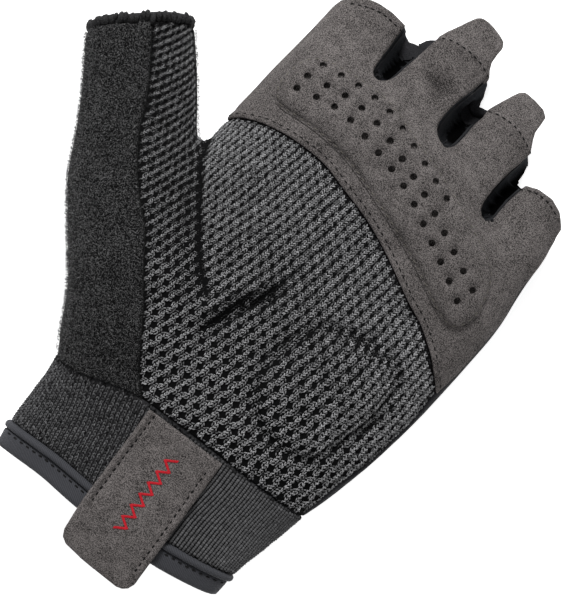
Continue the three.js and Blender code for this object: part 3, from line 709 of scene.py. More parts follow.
def thumb_map(points):
    """The same for the thumb's knit, whose rows turn to run across the thumb."""
    along, across = beside_thumb(points[:, 0], points[:, 1])
    across = across + np.tanh(across / 8) * 0.8 * np.maximum(smooth(along, THUMB, 4) - points[:, 2], 0)
    way = complex(math.cos(THUMB_ANGLE), math.sin(THUMB_ANGLE))
    z = complex(*THUMB_ROOT) + way * along - 1j * way * across
    turn = np.exp(-1j * ROW_TURN)
    w = turn * (JOINT + PALM_FAN * JOINT ** 2)
    w = w + turn * (1 + 2 * PALM_FAN * JOINT) * ((z - JOINT) + THUMB_FAN * (z - JOINT) ** 2)
    return np.stack([w.real, w.imag], axis=1)


def knit_rows(sheet, flat, seed, knit):
    """Where each loop of yarn stands on a sheet, its run, its up, its size and its tone, painted darker in
    the hollows.
    """
    points, triangles = sheet
    row, across, loop = knit["row"], knit["across"], knit["loop"]
    low, high = flat.min(axis=0), flat.max(axis=0)
    rows = np.arange(math.floor(low[1] / row * across), math.ceil(high[1] / row * across))
    u, j = np.meshgrid(np.arange(low[0], high[0], loop), rows, indexing="ij")
    u = (u + loop / 2 * (j // 2 % 2)).ravel()
    j = j.ravel()
    v = (j + 0.5) * row / across
    chance = np.random.default_rng(seed)
    u = u + chance.normal(0, knit["stray"], len(u))
    v = v + chance.normal(0, knit["stray"] * 0.7, len(v))
    lean = np.where(j % 2 == 0, knit["lean"], -knit["lean"]) + chance.normal(0, 0.12, len(u))
    # the nearest hole, in staggered rows whose pitch changes along the hand
    places = np.linspace(-130, 130, 2601)
    count = np.concatenate([[0], np.cumsum(np.diff(places) / np.interp(places[1:], *knit["pitch"]))])
    q = np.interp(u, places, count)
    m = np.round(v / row)
    stagger = 0.5 * (m % 2)
    near = np.round(q - stagger) + stagger
    du = u - np.interp(near, count, places)
    dv = v - m * row
    size = np.interp(u, *knit["hole"])
    far = np.maximum(np.hypot(du / np.interp(u, *knit["long"]), dv), 1e-3)
    push = (far ** 3 + size ** 3) ** (1 / 3) / far - 1
    u, v = u + 0.6 * du * push, v + dv * push
    ridge = np.clip(np.abs(v - m * row) / (row / 2), 0, 1)
    # between two holes the rope is crossed by a slanting crease
    turns = q - 0.5 * (np.floor(v / row) % 2) - 0.5 * (v / row % 1)
    crease = np.interp(u, *knit["twist"]) * (0.5 + 0.5 * np.cos(math.tau * turns))
    round_hole = (np.arctan2(du, -dv) + math.pi / 2) % math.pi - math.pi / 2
    swing = np.clip(1.5 - far / np.maximum(size, 1e-3), 0, 1) * 0.8
    lean = lean * (1 - swing) + round_hole * swing
    tree = BVHTree.FromPolygons([(a, b, 0.0) for a, b in flat.tolist()], triangles.tolist())
    hits = [tree.ray_cast(Vector((a, b, 1)), Vector((0, 0, -1)))[2] for a, b in zip(u.tolist(), v.tolist())]
    found = np.array([hit is not None for hit in hits])
    face = triangles[np.array([hit for hit in hits if hit is not None])]
    u, v, lean, ridge, crease = (values[found] for values in (u, v, lean, ridge, crease))
    a, b, c = (flat[face[:, i]] for i in range(3))
    e1, e2, d = b - a, c - a, np.stack([u, v], axis=1) - a
    area = e1[:, 0] * e2[:, 1] - e1[:, 1] * e2[:, 0]
    s = ((d[:, 0] * e2[:, 1] - d[:, 1] * e2[:, 0]) / area)[:, None]
    t = ((e1[:, 0] * d[:, 1] - e1[:, 1] * d[:, 0]) / area)[:, None]
    at = points[face[:, 0]] * (1 - s - t) + points[face[:, 1]] * s + points[face[:, 2]] * t
    side1, side2 = (points[face[:, i], :3] - points[face[:, 0], :3] for i in (1, 2))
    along_u = (side1 * e2[:, 1:] - side2 * e1[:, 1:]) / area[:, None]
    up = at[:, 3:6] / np.linalg.norm(at[:, 3:6], axis=1, keepdims=True)
    along_u = along_u - up * (along_u * up).sum(axis=1, keepdims=True)
    stretch = np.linalg.norm(along_u, axis=1, keepdims=True)
    along_u /= np.maximum(stretch, 1e-6)
    run = along_u * np.cos(lean)[:, None] + np.cross(up, along_u) * np.sin(lean)[:, None]
    kept = at[:, 6] > 0.3
    sink = 0.3 * np.clip(1 - at[:, 6] / 1.2, 0, 1)
    sink = sink + np.interp(u, *knit["groove"]) * (1 - ridge) ** 2 + crease
    place = at[:, :3] + up * (0.05 - sink + chance.normal(0, 0.03, len(at)))[:, None]
    sizes = np.clip(stretch[:, 0], 0.8, 1.15) * np.interp(u, *knit["plump"])
    sizes = sizes * chance.uniform(0.92, 1.08, len(at))
    tones = chance.normal(0.5, knit["uneven"], len(at)) + np.interp(u, *knit["tone"])
    # painted shade: yarn that lies deeper (in the grooves between the ropes, in the creases, near the cut
    # edges where the suede's edge shades it) and yarn in the folds is darker
    tones = tones - 1.2 * sink - 0.3 * at[:, 7]
    tones = np.clip(tones, 0, 1)
    return [values[kept] for values in (place, run, up, sizes, tones)]


# the knit's own dark ground, made near black as painted shade in the gaps between the loops
ground_finish = napped(
    "knit_ground", (0.001, 0.001, 0.001), (0.006, 0.006, 0.0065),
    fibre=3.5, contrast=1.2, depth=0.2, roughness=0.95)


def toned(finish, attribute, rule):
    """Lets an attribute change the tone from which a cloth takes its colour."""
    tree = finish.node_tree
    ramp = tree.nodes["Principled BSDF"].inputs["Base Color"].links[0].from_node
    speck = ramp.inputs["Fac"].links[0].from_socket
    value = add(tree, "ShaderNodeAttribute", attribute_name=attribute).outputs["Fac"]
    tree.links.new(rule(tree, value, speck), ramp.inputs["Fac"])
    return finish


def spun(name, dark, light):
    """Speckled yarn whose loops also differ from each other by their tone attribute, which on the knit also
    carries painted shade.
    """
    def rule(tree, tone, speck):
        return sums(tree, "MULTIPLY_ADD", tone, 0.9, sums(tree, "MULTIPLY_ADD", speck, 0.5, -0.18))
    return toned(napped(name, dark, light, fibre=3.6, contrast=0.6, depth=0.08, roughness=0.8), "tone", rule)


yarn_finish = spun("yarn", (0.013, 0.013, 0.0135), (0.48, 0.48, 0.49))

knit_sheet = trimmed(skin, palm_side, above_cuff, knit_side, inner_thumb, thumb_hem)
ground_sheet = trimmed(skin, palm_side, above_cuff, lambda x, y, z: knit_side(x, y, z) + KNIT_LAP,
                       inner_thumb, thumb_hem)
tucked = np.clip(0.5 - knit_side(*ground_sheet[0][:, :3].T) / 0.8, 0, 1)
knit = ride(cloth("palm_knit_ground", ground_sheet, 1.1, ground_finish, rise=-0.35 - 0.08 * tucked), "knit",
            "palm_knit")


def on_thumb(x, y, z):
    return -beside(DART_HOOK, x, y)[0]


yarn_tree = planting_tree("yarn_loops", yarn_loop)


def knitted(name, sheet, flat, knit, finish, halves=None):
    """Rows of yarn over a sheet, in one mesh or two."""
    rows = knit_rows(sheet, flat, 5, knit)
    for i, half in enumerate((rows[0][:, 1] > halves,
                              rows[0][:, 1] <= halves) if halves else (rows[2][:, 2] > -2,)):
        yarn = planted("%s_%d" % (name, i + 1), yarn_tree, *[values[half] for values in rows],
                       1.34 * knit["loop"],
                       knit["width"], finish)
        ride(yarn, "knit")


for name, side, flat_map, knit_size, halves in (("knit_yarn_thumb", 1, thumb_map, THUMB_KNIT, None),
                                                ("knit_yarn_palm", -1, palm_map, PALM_KNIT, -8)):
    part = trimmed(knit_sheet, lambda x, y, z: side * on_thumb(x, y, z))
    # only the dart itself is an edge; below it the two parts grow together
    at = part[0][:, :3].T
    dart_side, dart_place = beside(DART, at[0], at[1])
    to_dart = np.where(dart_place < 57, np.abs(dart_side), 99.0)
    rules = (palm_side, above_cuff, knit_side, inner_thumb, thumb_hem)
    part[0][:, 6] = np.minimum.reduce([rule(*at) for rule in rules] + [to_dart])
    knitted(name, part, flat_map(part[0]), knit_size, yarn_finish, halves)

# Terry on the outer side and the back of the thumb, one fleecy panel that stands proud of the
# knit and hangs a little over the cuff. The thumb's end is overlocked.
terry_finish = napped(
    "terry", (0.003, 0.003, 0.0032), (0.138, 0.138, 0.140),
    fibre=2.4, contrast=4.2, depth=0.6, roughness=1.0, mottle=0.45)


def shadowed(tree, shadow, speck):
    return sums(tree, "SUBTRACT", speck, shadow)


toned(terry_finish, "shadow", shadowed)


def terry_side(x, y, z):
    front = -beside(TERRY_SEAM, x, y)[0] - 0.1
    back = -beside(BACK_SEAM, x, y)[0] - HALF_GAP
    split = z - side_seam(x, y)
    return np.where(split > 0, front, np.maximum(np.minimum(back, -split - 0.15), np.minimum(front, back)))


terry_sheet = trimmed(skin, terry_side, above_cuff, thumb_hem)
terry_rise = 0.8 - 0.75 * np.clip(1 - terry_sheet[0][:, 6] / 1.8, 0, 1) ** 2
from_hem = -thumb_hem(terry_sheet[0][:, 0], terry_sheet[0][:, 1], 0)
terry = ride(cloth("thumb_terry_cloth", terry_sheet, 2.2, terry_finish, rise=terry_rise,
                   extra={"shadow": 0.3 * np.clip(1 - from_hem / 17, 0, 1)}), "terry", "thumb_terry")


def fibre_spike(tree, length, width):
    """A fibre: a long thin cone with three sides."""
    cone = add(tree, "GeometryNodeMeshCone", {"Vertices": 3,
                                              "Radius Bottom": sums(tree, "MULTIPLY", width, 0.5),
                                              "Depth": length})
    return add(tree, "GeometryNodeTransform", {"Geometry": cone.outputs[0],
                                               "Rotation": (0, math.pi / 2, 0)}).outputs[0]


def strewn(sheet, count, seed):
    """Random places on a sheet with their normals, away from its edges."""
    points, triangles = sheet
    chance = np.random.default_rng(seed)
    face = triangles[chance.integers(0, len(triangles), count)]
    share = chance.dirichlet((1, 1, 1), count)
    at = sum(points[face[:, i]] * share[:, i:i + 1] for i in range(3))
    return at[(at[:, 6] > 0.5) & (at[:, 2] > 1.6)], chance


fuzz_finish = napped(
    "terry_fibre", (0.012, 0.012, 0.0125), (0.27, 0.27, 0.273),
    fibre=1.5, contrast=2.8, depth=0.1, roughness=1.0)
tuft, chance = strewn(terry_sheet, 15000, 8)
away = tuft[:, 3:6] * 0.75 + chance.normal(0, 0.65, (len(tuft), 3))
away /= np.linalg.norm(away, axis=1, keepdims=True)
fuzz = planted("terry_fuzz", planting_tree("fibres", fibre_spike), tuft[:, :3] + tuft[:, 3:6] * 1.0, away,
               tuft[:, 3:6],
               chance.uniform(0.6, 1.3, len(tuft)), chance.uniform(0, 1, len(tuft)), 1.2, 0.16, fuzz_finish)
ride(fuzz, "terry")

edge_finish = napped(
    "overlock_thread", (0.003, 0.003, 0.0033), (0.058, 0.058, 0.060),
    fibre=2.6, contrast=1.8, depth=0.4, roughness=0.95)
edge_sheet = trimmed(skin, inside_thumb_end, lambda x, y, z: -thumb_hem(x, y, z) - 0.15)
ride(cloth("thumb_edge_cloth", edge_sheet, 2.0, edge_finish, rise=0.0), "edging", "thumb_edge")
edge_points = edge_sheet[0]
band = np.abs(thumb_hem(edge_points[:, 0], edge_points[:, 1], 0) + 1.35) < 0.75
band_points = edge_points[band]
edge_across = beside_thumb(band_points[:, 0], band_points[:, 1])[1]
round_thumb = np.arctan2((band_points[:, 2] - 9) * 1.8, edge_across)
picked = np.unique(np.floor((round_thumb + math.pi) / math.tau * 66), return_index=True)[1]
chance = np.random.default_rng(3)
wraps = band_points[picked]
wraps = wraps[wraps[:, 2] > 1.7]
way = np.array([math.cos(THUMB_ANGLE), math.sin(THUMB_ANGLE), 0]) + chance.normal(0, 0.2, (len(wraps), 3))
way -= wraps[:, 3:6] * (way * wraps[:, 3:6]).sum(axis=1, keepdims=True)
way /= np.linalg.norm(way, axis=1, keepdims=True)
overlock = planted("thumb_overlock_thread", yarn_tree, wraps[:, :3] + wraps[:, 3:6] * 0.35, way,
                   wraps[:, 3:6],
                   chance.uniform(0.8, 1.15, len(wraps)), chance.uniform(0, 1, len(wraps)), 3.5, 2.0,
                   edge_finish)
ride(overlock, "edging")

# Suede over the knuckles of the palm with the fronts of the four finger sleeves, cut in three
# deep slots. It laps over the knit.


def off_slots(x, y, z):
    return -np.maximum.reduce([within(slot, x, y) for slot in SLOTS.values()])


suede_finish = napped(
    "suede", (0.016, 0.0147, 0.0143), (0.212, 0.193, 0.188),
    fibre=3.1, contrast=3.1, depth=0.14, roughness=0.95, mottle=0.5)
toned(suede_finish, "shadow", shadowed)
suede_sheet = trimmed(skin, palm_side, suede_side, below_ends, off_slots)
suede_rise = 0.5 - 0.2 * bell(suede_sheet[0][:, 6] - 2.2, 0.8)
# painted shade in the middle finger's dimple and in the folds, through the suede's shadow attribute
suede = ride(cloth("palm_suede_leather", suede_sheet, 1.1, suede_finish, rise=suede_rise,
                   extra={"shadow": 0.42 * suede_sheet[0][:, 7]}), "suede", "palm_suede")

# Dark stretch cloth between the fingers: one strip in each fork, sewn under the edges of the
# suede's slot, with a thin rolled rim and a small tuft of loose threads at its root
stretch_finish = napped(
    "stretch", (0.0002, 0.0002, 0.0003), (0.056, 0.059, 0.066),
    fibre=3.0, contrast=0.9, depth=0.1, roughness=0.85)
stretch_finish.node_tree.nodes["Principled BSDF"].inputs["Specular IOR Level"].default_value = 0.03
toned(stretch_finish, "light_side",
      lambda tree, light, speck: sums(tree, "MULTIPLY", light, sums(tree, "ADD", speck, 0.15)))
for name, slot in SLOTS.items():
    strip = trimmed(skin, palm_side, below_ends, lambda x, y, z, slot=slot: within(slot, x, y) - 0.12)
    share = across_slot(slot, strip[0][:, 0], strip[0][:, 1])[1]
    # painted light on the strip's left wall and at its root; the rest is painted shade, nearly black
    light_side = np.clip(np.maximum((0.55 - share) / 0.2, (share - 0.88) / 0.1), 0.06, 1)
    light_side = np.maximum(light_side, np.clip(1.2 - (strip[0][:, 1] - slot[:, 1].min()) / 4.0, 0, 1))
    ride(cloth("fourchette_cloth_" + name, strip, 1.0, stretch_finish, rise=-0.25,
               extra={"light_side": light_side}),
         "stretch", "fourchette_" + name)


def rolled(name, places, ups, width, finish, slot):
    """A thin round roll of cloth or a thread along a line of places."""
    runs = np.gradient(places, axis=0)
    runs /= np.linalg.norm(runs, axis=1, keepdims=True)
    sides = np.cross(ups, runs)
    angles = np.linspace(0, math.tau, 7)[:-1]
    taper = np.minimum(1, np.minimum(np.arange(len(places)), np.arange(len(places))[::-1]) / 2 + 0.35)
    around = np.cos(angles)[None, :, None] * sides[:, None] + np.sin(angles)[None, :, None] * ups[:, None]
    rings = places[:, None] + around * (width / 2 * taper)[:, None, None]
    count = len(places)
    faces = [(i * 6 + k, i * 6 + (k + 1) % 6, (i + 1) * 6 + (k + 1) % 6, (i + 1) * 6 + k)
             for i in range(count - 1) for k in range(6)]
    faces += [tuple(range(6))[::-1], tuple(range((count - 1) * 6, count * 6))]
    return ride(smooth_piece(name, rings.reshape(-1, 3), faces, finish), slot)


def surface_of(*pieces):
    """The outer faces of pieces, for laying a seam on them from above."""
    vertices, faces = [], []
    for piece in pieces:
        start = len(vertices)
        vertices += [v.co.copy() for v in piece.data.vertices]
        faces += [[start + i for i in face.vertices] for face in piece.data.polygons]
    return BVHTree.FromPolygons(vertices, faces)


def dropped(surface, x, y):
    """Where a place in plan meets a surface from above, and its normal there."""
    return surface.ray_cast(Vector((x * 0.001, y * 0.001, 0.06)), Vector((0, 0, -1)))[:2]


def on_surface(line, spacing, surface, lift):
    """Evenly spaced places over a line in plan, laid on a surface from above, with run and up."""
    count = max(int(np.linalg.norm(np.diff(line, axis=0), axis=1).sum() / spacing) + 1, 2)
    places, ups = [], []
    for x, y in flowing(line, count):
        hit, normal = dropped(surface, x, y)
        if hit is not None:
            places.append(hit * 1000 + normal * lift)
            ups.append(normal)
    places, ups = np.array(places), np.array(ups)
    runs = np.gradient(places, axis=0)
    return places, runs / np.linalg.norm(runs, axis=1, keepdims=True), ups


rim_finish = napped(
    "stretch_rim", (0.004, 0.004, 0.0045), (0.035, 0.036, 0.04),
    fibre=3.0, contrast=1.2, depth=0.1, roughness=0.6, sheen=0.02)
finger_surface = surface_of(suede, *[bpy.data.objects["fourchette_cloth_" + name] for name in SLOTS])
for (name, slot), end in zip(SLOTS.items(), (88, 89, 79)):
    inner = slot[slot[:, 1] < end]
    centre = inner.mean(axis=0) + np.array([0, 6])
    drawn = inner + (centre - inner) * np.array([0.16, 0.02])
    places, _, ups = on_surface(drawn, 0.8, finger_surface, 0.0)
    rolled("fourchette_rim_" + name, places, ups, 0.9, rim_finish, "stretch")
    chance = np.random.default_rng(len(name))
    low = inner[np.argmin(inner[:, 1])] + np.array([0, 1.6])
    spots = low + chance.normal(0, [0.9, 0.6], (16, 2))
    hits = [dropped(finger_surface, x, y) for x, y in spots]
    places = np.array([hit[0] * 1000 + hit[1] * 0.3 for hit in hits])
    ups = np.array([hit[1] for hit in hits])
    runs = chance.normal(0, 1, (16, 3)) + np.array([0, 1.2, 0])
    tuft = planted("fork_tuft_" + name, yarn_tree, places, runs, ups, chance.uniform(0.7, 1.3, 16),
                   chance.uniform(0.2, 0.6, 16), 1.3, 0.5, rim_finish)
    ride(tuft, "stretch")

# Grip pad over the knuckles of the palm: the same suede over foam, stitched down all round and
# pierced by three rows of round holes
PAD = flowing([(-42.6, 45.3), (-43.3, 48.2), (-42.9, 52.7), (-41.7, 56.7), (-39.3, 59.2), (-36.6, 60.6),
               (-30.7, 61.9), (-21.4, 62.8), (-13.6, 62.4), (-2.7, 59.4), (13.9, 54.8), (27.7, 49.9),
               (39.0, 44.5), (41.8, 40.4), (43.2, 37.1), (44.2, 31.5), (43.4, 27.6), (41.8, 25.2),
               (39.2, 24.6), (33.8, 26.0), (18.4, 32.5), (0.7, 38.3), (-14.1, 42.2), (-24.3, 42.9),
               (-33.6, 42.4), (-37.4, 42.0), (-40.2, 42.6), (-42.6, 45.3)], 90)[:-1]
HOLE_ROWS = [
    ([(-36.4, 58.5), (-24.3, 60.3), (-12.8, 59.9), (-0.8, 56.6), (15.6, 51.2)], 10),
    ([(-37.7, 53.2), (-25.2, 55.4), (-13.2, 54.8), (3.6, 50.2), (20.5, 43.9), (38.3, 36.1)], 14),
    ([(-37.7, 48.6), (-25.6, 50.9), (-14.1, 50.1), (2.6, 46.5), (19.4, 39.5), (36.9, 31.1)], 14),
]
HOLE = 1.12
hole_centres = np.concatenate([flowing(points, count) for points, count in HOLE_ROWS])


def finer(sheet):
    """Every triangle in four."""
    points, triangles = sheet
    pairs, where = np.unique(np.sort(edges_of(triangles), axis=1), axis=0, return_inverse=True)
    ab, bc, ca = (where.reshape(-1) + len(points)).reshape(3, -1)
    a, b, c = triangles.T
    points = np.concatenate([points, (points[pairs[:, 0]] + points[pairs[:, 1]]) / 2])
    parts = [(a, ab, ca), (ab, b, bc), (ca, bc, c), (ab, bc, ca)]
    return points, np.concatenate([np.stack(part, axis=1) for part in parts])


def to_hole(x, y):
    return np.sqrt(np.min([(x - cx) ** 2 + (y - cy) ** 2 for cx, cy in hole_centres], axis=0))


pad_sheet = trimmed(skin, palm_side, lambda x, y, z: within(PAD, x, y) + 0.7)
pad_sheet = trimmed(finer(pad_sheet), lambda x, y, z: to_hole(x, y) - HOLE)
pad_x, pad_y = pad_sheet[0][:, 0], pad_sheet[0][:, 1]
pad_edge = within(PAD, pad_x, pad_y)
puff = np.sqrt(np.clip(1 - (1 - np.clip((pad_edge + 0.1) / 5.4, 0, 1)) ** 2, 0, 1))
pad_rise = 1.15 + 1.6 * puff - 0.5 * bell(to_hole(pad_x, pad_y) - HOLE, 0.9) - 0.35 * bell(pad_edge, 0.55)
pad_sheet[0][:, 6] = np.where(pad_edge < 1.0, pad_sheet[0][:, 6], 9.0)
pad = cloth("grip_pad_leather", pad_sheet, 0.9, suede_finish, rise=pad_rise)
ride(pad, "pad_suede", "grip_pad")

# Cuff: a dark knit tube, ribbed on its right half and dashed on its left, with a rolled piping
# ridge near its edge and a binding of twill tape folded round the edge itself
PIPING_LINE = flowing([(-60, -85), (-41.5, -81.6), (-33.3, -80.4), (-22.6, -79.4), (-8.8, -79.4),
                       (12.2, -78.8), (26.4, -77.0), (40.7, -74.2), (60, -70)], 40)
PIPING = 2.3
BINDING = 5.5


def down_cuff(x, y):
    return -beside(PIPING_LINE, x, y)[0]


cuff_finish, tree, shader = new_finish("cuff_knit", 0.85, 0.02)


def flattened(tree):
    """A place on the flattened cloth, as a vector and as its parts."""
    place = add(tree, "ShaderNodeUVMap", uv_map="UVMap").outputs[0]
    return place, add(tree, "ShaderNodeSeparateXYZ", {0: place}).outputs


flat_place, flat = flattened(tree)
ribs = sums(tree, "MULTIPLY_ADD", sums(tree, "COSINE", sums(tree, "MULTIPLY", flat["X"], math.tau / 1.25)),
            0.5, 0.5)
column = sums(tree, "MULTIPLY", sums(tree, "FLOOR", sums(tree, "DIVIDE", flat["X"], 1.25)), 0.5)
beads = sums(tree, "ADD", sums(tree, "DIVIDE", flat["Y"], 0.9), column)
beads = sums(tree, "MULTIPLY_ADD", sums(tree, "COSINE", sums(tree, "MULTIPLY", beads, math.tau)), 0.3, 0.7)
rib_height = sums(tree, "MULTIPLY", ribs, beads)
fibre = noise(tree, flat_place, 2.6, 0.75)
side_mask = add(tree, "ShaderNodeMapRange", {"Value": flat["X"], "From Min": -8.0, "From Max": 20.0})
mixed = add(tree, "ShaderNodeMix", {0: side_mask.outputs[0], 2: fibre, 3: rib_height})
# painted shade: on the ribbed half the height of ribs and beads also darkens their grooves
tone = sums(tree, "MULTIPLY_ADD", sums(tree, "SUBTRACT", fibre, 0.5), 1.1, mixed.outputs[0])
dressed(tree, shader, tone, [(0.05, (0.004, 0.004, 0.0045)), (0.95, (0.05, 0.05, 0.053))],
        mixed.outputs[0], 0.8, 0.4)

cuff_sheet = trimmed(skin, lambda x, y, z: -beside(CUFF_SEAM, x, y)[0] - 0.15,
                     lambda x, y, z: -down_cuff(x, y) - 0.1)
cuff = cloth("cuff_cloth", cuff_sheet, 1.3, cuff_finish, rise=-0.35, uv=unrolled(cuff_sheet[0]))
ride(cuff, "cuff_knit", "cuff")
RIBS = {"row": 1.25, "across": 1, "loop": 0.7, "width": 0.84, "lean": 0.1, "uneven": 0.05, "stray": 0.05,
        "tone": ([0], [0]), "groove": ([0], [0]), "pitch": ([0], [1.9]), "hole": ([0], [0.34]),
        "long": ([0], [2.4]), "plump": ([0], [1.25]), "twist": ([0], [0])}
DASHES = dict(RIBS, row=1.5, across=2, loop=0.9, width=0.5, lean=0.5, uneven=0.12,
              groove=([0], [0.3]), pitch=([0], [2.3]), hole=([0], [0.4]),
              plump=([0], [1]))
cuff_yarn = spun("cuff_yarn", (0.006, 0.006, 0.0064), (0.175, 0.175, 0.18))
for name, keep, turn, rib_size in (("cuff_yarn_right", lambda x, y, z: np.minimum(x - 2.0, z - 9), 90,
                                    RIBS),
                                   ("cuff_yarn_left", lambda x, y, z: np.minimum(2.0 - x, z - 9), 104,
                                    DASHES)):
    part = trimmed(cuff_sheet, keep)
    flat_x, flat_y = unrolled(part[0]).T
    w = (flat_x + 1j * flat_y) * np.exp(-1j * math.radians(turn))
    knitted(name, part, np.stack([w.real, w.imag], axis=1), rib_size, cuff_yarn)

tape_finish, tree, shader = new_finish("twill_tape", 0.7, 0.02)
flat_place, flat = flattened(tree)
lean = sums(tree, "MULTIPLY_ADD", flat["Y"], 0.45, flat["X"])
twill = sums(tree, "MULTIPLY_ADD", sums(tree, "SINE", sums(tree, "MULTIPLY", lean, math.tau / 0.62)), 0.5,
             0.5)
fibre = noise(tree, flat_place, 2.2, 0.7)
# painted shade: the twill's height also darkens its grooves
tone = sums(tree, "MULTIPLY_ADD", fibre, 0.6, sums(tree, "MULTIPLY", twill, 0.4))
dressed(tree, shader, tone, [(0.1, (0.034, 0.035, 0.040)), (0.9, (0.082, 0.084, 0.094))], twill, 0.7, 0.15)

piping_sheet = finer(trimmed(skin, lambda x, y, z: down_cuff(x, y) - 0.1,
                             lambda x, y, z: PIPING - down_cuff(x, y)))
down = down_cuff(piping_sheet[0][:, 0], piping_sheet[0][:, 1])
ridge = np.sqrt(np.clip(1 - ((down - PIPING / 2) / (PIPING / 2)) ** 2, 0, 1))
ride(cloth("cuff_piping_tape", piping_sheet, 1.8, tape_finish, rise=0.05 + 1.0 * ridge,
           uv=unrolled(piping_sheet[0])), "binding", "cuff_piping")
binding_sheet = trimmed(skin, lambda x, y, z: down_cuff(x, y) - PIPING - 0.1,
                        lambda x, y, z: PIPING + BINDING - down_cuff(x, y))
binding = cloth("cuff_binding_tape", binding_sheet, 2.2, tape_finish, rise=0.25,
                uv=unrolled(binding_sheet[0]))
ride(binding, "binding", "cuff_binding")

# Pull tab: a strap of suede sewn into the cuff seam, lying over the cuff and past its edge, with
# a row of stitches down both long sides
TAB = np.array([(-10.9, -51.2), (15.6, -49.9), (17.0, -70.0), (18.4, -91.1), (18.6, -93.6),
                (18.0, -95.8), (16.7, -97.1), (14.9, -97.7), (2.3, -97.9), (-4.5, -97.5), (-6.5, -96.4),
                (-7.6, -94.3), (-8.9, -84.8)])
TAB_HEIGHT = [(-98, 21.0), (-92, 22.3), (-86, 23.2), (-80, 23.5), (-74, 23.2), (-66, 23.0), (-58, 23.2),
              (-50, 23.9)]


def plan_sheet(outline, spacing, height):
    """A flat sheet inside an outline, lifted to a height over each place."""
    low, high = outline.min(axis=0) - 1, outline.max(axis=0) + 1
    columns, rows = (int((high[i] - low[i]) / spacing) for i in (0, 1))
    x, y = np.meshgrid(np.linspace(low[0], high[0], columns), np.linspace(low[1], high[1], rows),
                       indexing="ij")
    x, y = x.ravel(), y.ravel()
    points = np.stack([x, y, height(x, y)], axis=1)
    at = np.arange(len(x)).reshape(columns, rows)
    a, b, c, d = at[:-1, :-1].ravel(), at[1:, :-1].ravel(), at[1:, 1:].ravel(), at[:-1, 1:].ravel()
    triangles = np.concatenate([np.stack([a, b, c], axis=1), np.stack([a, c, d], axis=1)])
    sheet = (np.concatenate([points, normals_of(points, triangles), np.full((len(points), 1), 99.0)],
                            axis=1), triangles)
    return cut(sheet, within(outline, x, y))


TAB_SEAMS = {"left": np.array([(-8.6, -52.0), (-7.9, -66.0), (-6.8, -82.0)]),
             "right": np.array([(13.6, -55.0), (15.0, -72.0), (16.3, -90.0)])}
tab_sheet = plan_sheet(TAB, 0.5, lambda x, y: smooth(y, TAB_HEIGHT, 1) - 0.0018 * (x - 2) ** 2)
tab_x, tab_y = tab_sheet[0][:, 0], tab_sheet[0][:, 1]
left_seam, right_seam = (beside(TAB_SEAMS[side], tab_x, tab_y)[0] for side in ("left", "right"))
tab_rise = 0.55 * bell(left_seam + 1.3, 0.9) - 0.5 * bell(left_seam, 0.6)
tab_rise = tab_rise + 0.3 * bell(right_seam - 0.9, 0.6) - 0.35 * bell(right_seam, 0.5)
tab = cloth("pull_tab_leather", tab_sheet, 1.3, suede_finish, rise=tab_rise)
ride(tab, "suede", "pull_tab")
tab_x, tab_y = np.concatenate([TAB, TAB[:1]]).T * 0.001

# Loops on the middle and ring fingers, for pulling the glove off: tongues of doubled suede, sewn
# on across the end of the sleeve and drooping past it
MIDDLE_LOOP = np.array([(-16.0, 87.0), (-16.2, 89.3), (-15.2, 92.4), (-13.8, 95.8), (-12.4, 99.3),
                        (-11.3, 101.7), (-10.0, 102.8), (-7.8, 103.0), (-5.5, 102.7), (-2.6, 102.0),
                        (-0.7, 101.2), (0.2, 99.6), (0.3, 96.5), (0.5, 93.6), (1.6, 91.0), (2.9, 88.9),
                        (3.0, 87.0)])
RING_LOOP = np.array([(9.2, 79.0), (9.0, 81.9), (10.8, 87.4), (12.0, 90.6), (13.0, 92.8), (14.4, 93.9),
                      (18.0, 93.8), (21.6, 93.3), (23.6, 91.8), (23.8, 89.0), (23.9, 86.3),
                      (24.8, 83.6), (26.2, 80.6), (26.0, 79.0)])
sleeve_surface = surface_of(suede)


def loop_height(outline, y0):
    """Height of a loop that leaves its sleeve from just under the hem and droops."""
    columns = np.linspace(outline[:, 0].min() + 1.5, outline[:, 0].max() - 1.5, 9)
    hits = [dropped(sleeve_surface, x, y0 - 1.2)[0] for x in columns]
    crown = np.array([hit.z * 1000 for hit in hits]) - 1.05

    def height(x, y):
        out = np.maximum(y - y0 + 1, 0)
        evened = np.clip(out / 16, 0, 0.5)
        flat = np.interp(x, columns, crown) * (1 - evened) + crown.mean() * evened
        return flat - 0.34 * out - 0.010 * out ** 2
    return height


for name, outline, y0 in (("middle", MIDDLE_LOOP, 89.6), ("ring", RING_LOOP, 81.6)):
    loop_sheet = plan_sheet(outline, 0.6, loop_height(outline, y0))
    ride(cloth("finger_loop_" + name, loop_sheet, 1.7, suede_finish), "suede", "finger_tab_" + name)

# Stitches: each is a short swollen length of thread that lies along its seam


def stitch(tree, length, width):
    bead = add(tree, "GeometryNodeMeshUVSphere", {"Segments": 7, "Rings": 5, "Radius": 0.5})
    laid = add(tree, "GeometryNodeTransform", {"Geometry": bead.outputs[0],
                                               "Rotation": (0, math.pi / 2, 0)})
    size = add(tree, "ShaderNodeCombineXYZ", {"X": length, "Y": width,
                                              "Z": sums(tree, "MULTIPLY", width, 0.75)})
    return add(tree, "GeometryNodeTransform", {"Geometry": laid.outputs[0],
                                               "Scale": size.outputs[0]}).outputs[0]


stitch_tree = planting_tree("stitches", stitch)


def stitches(name, line, surface, thread, slot, length=1.6, pitch=2.4, width=0.6, lift=0.1, lean=0.0):
    """A row of stitches over a line in plan."""
    places, runs, ups = on_surface(line, pitch, surface, lift)
    runs = runs * math.cos(lean) + np.cross(ups, runs) * math.sin(lean)
    even = np.ones(len(places))
    return ride(planted(name, stitch_tree, places, runs, ups, even, 0.5 * even, length, width, thread),
                slot)


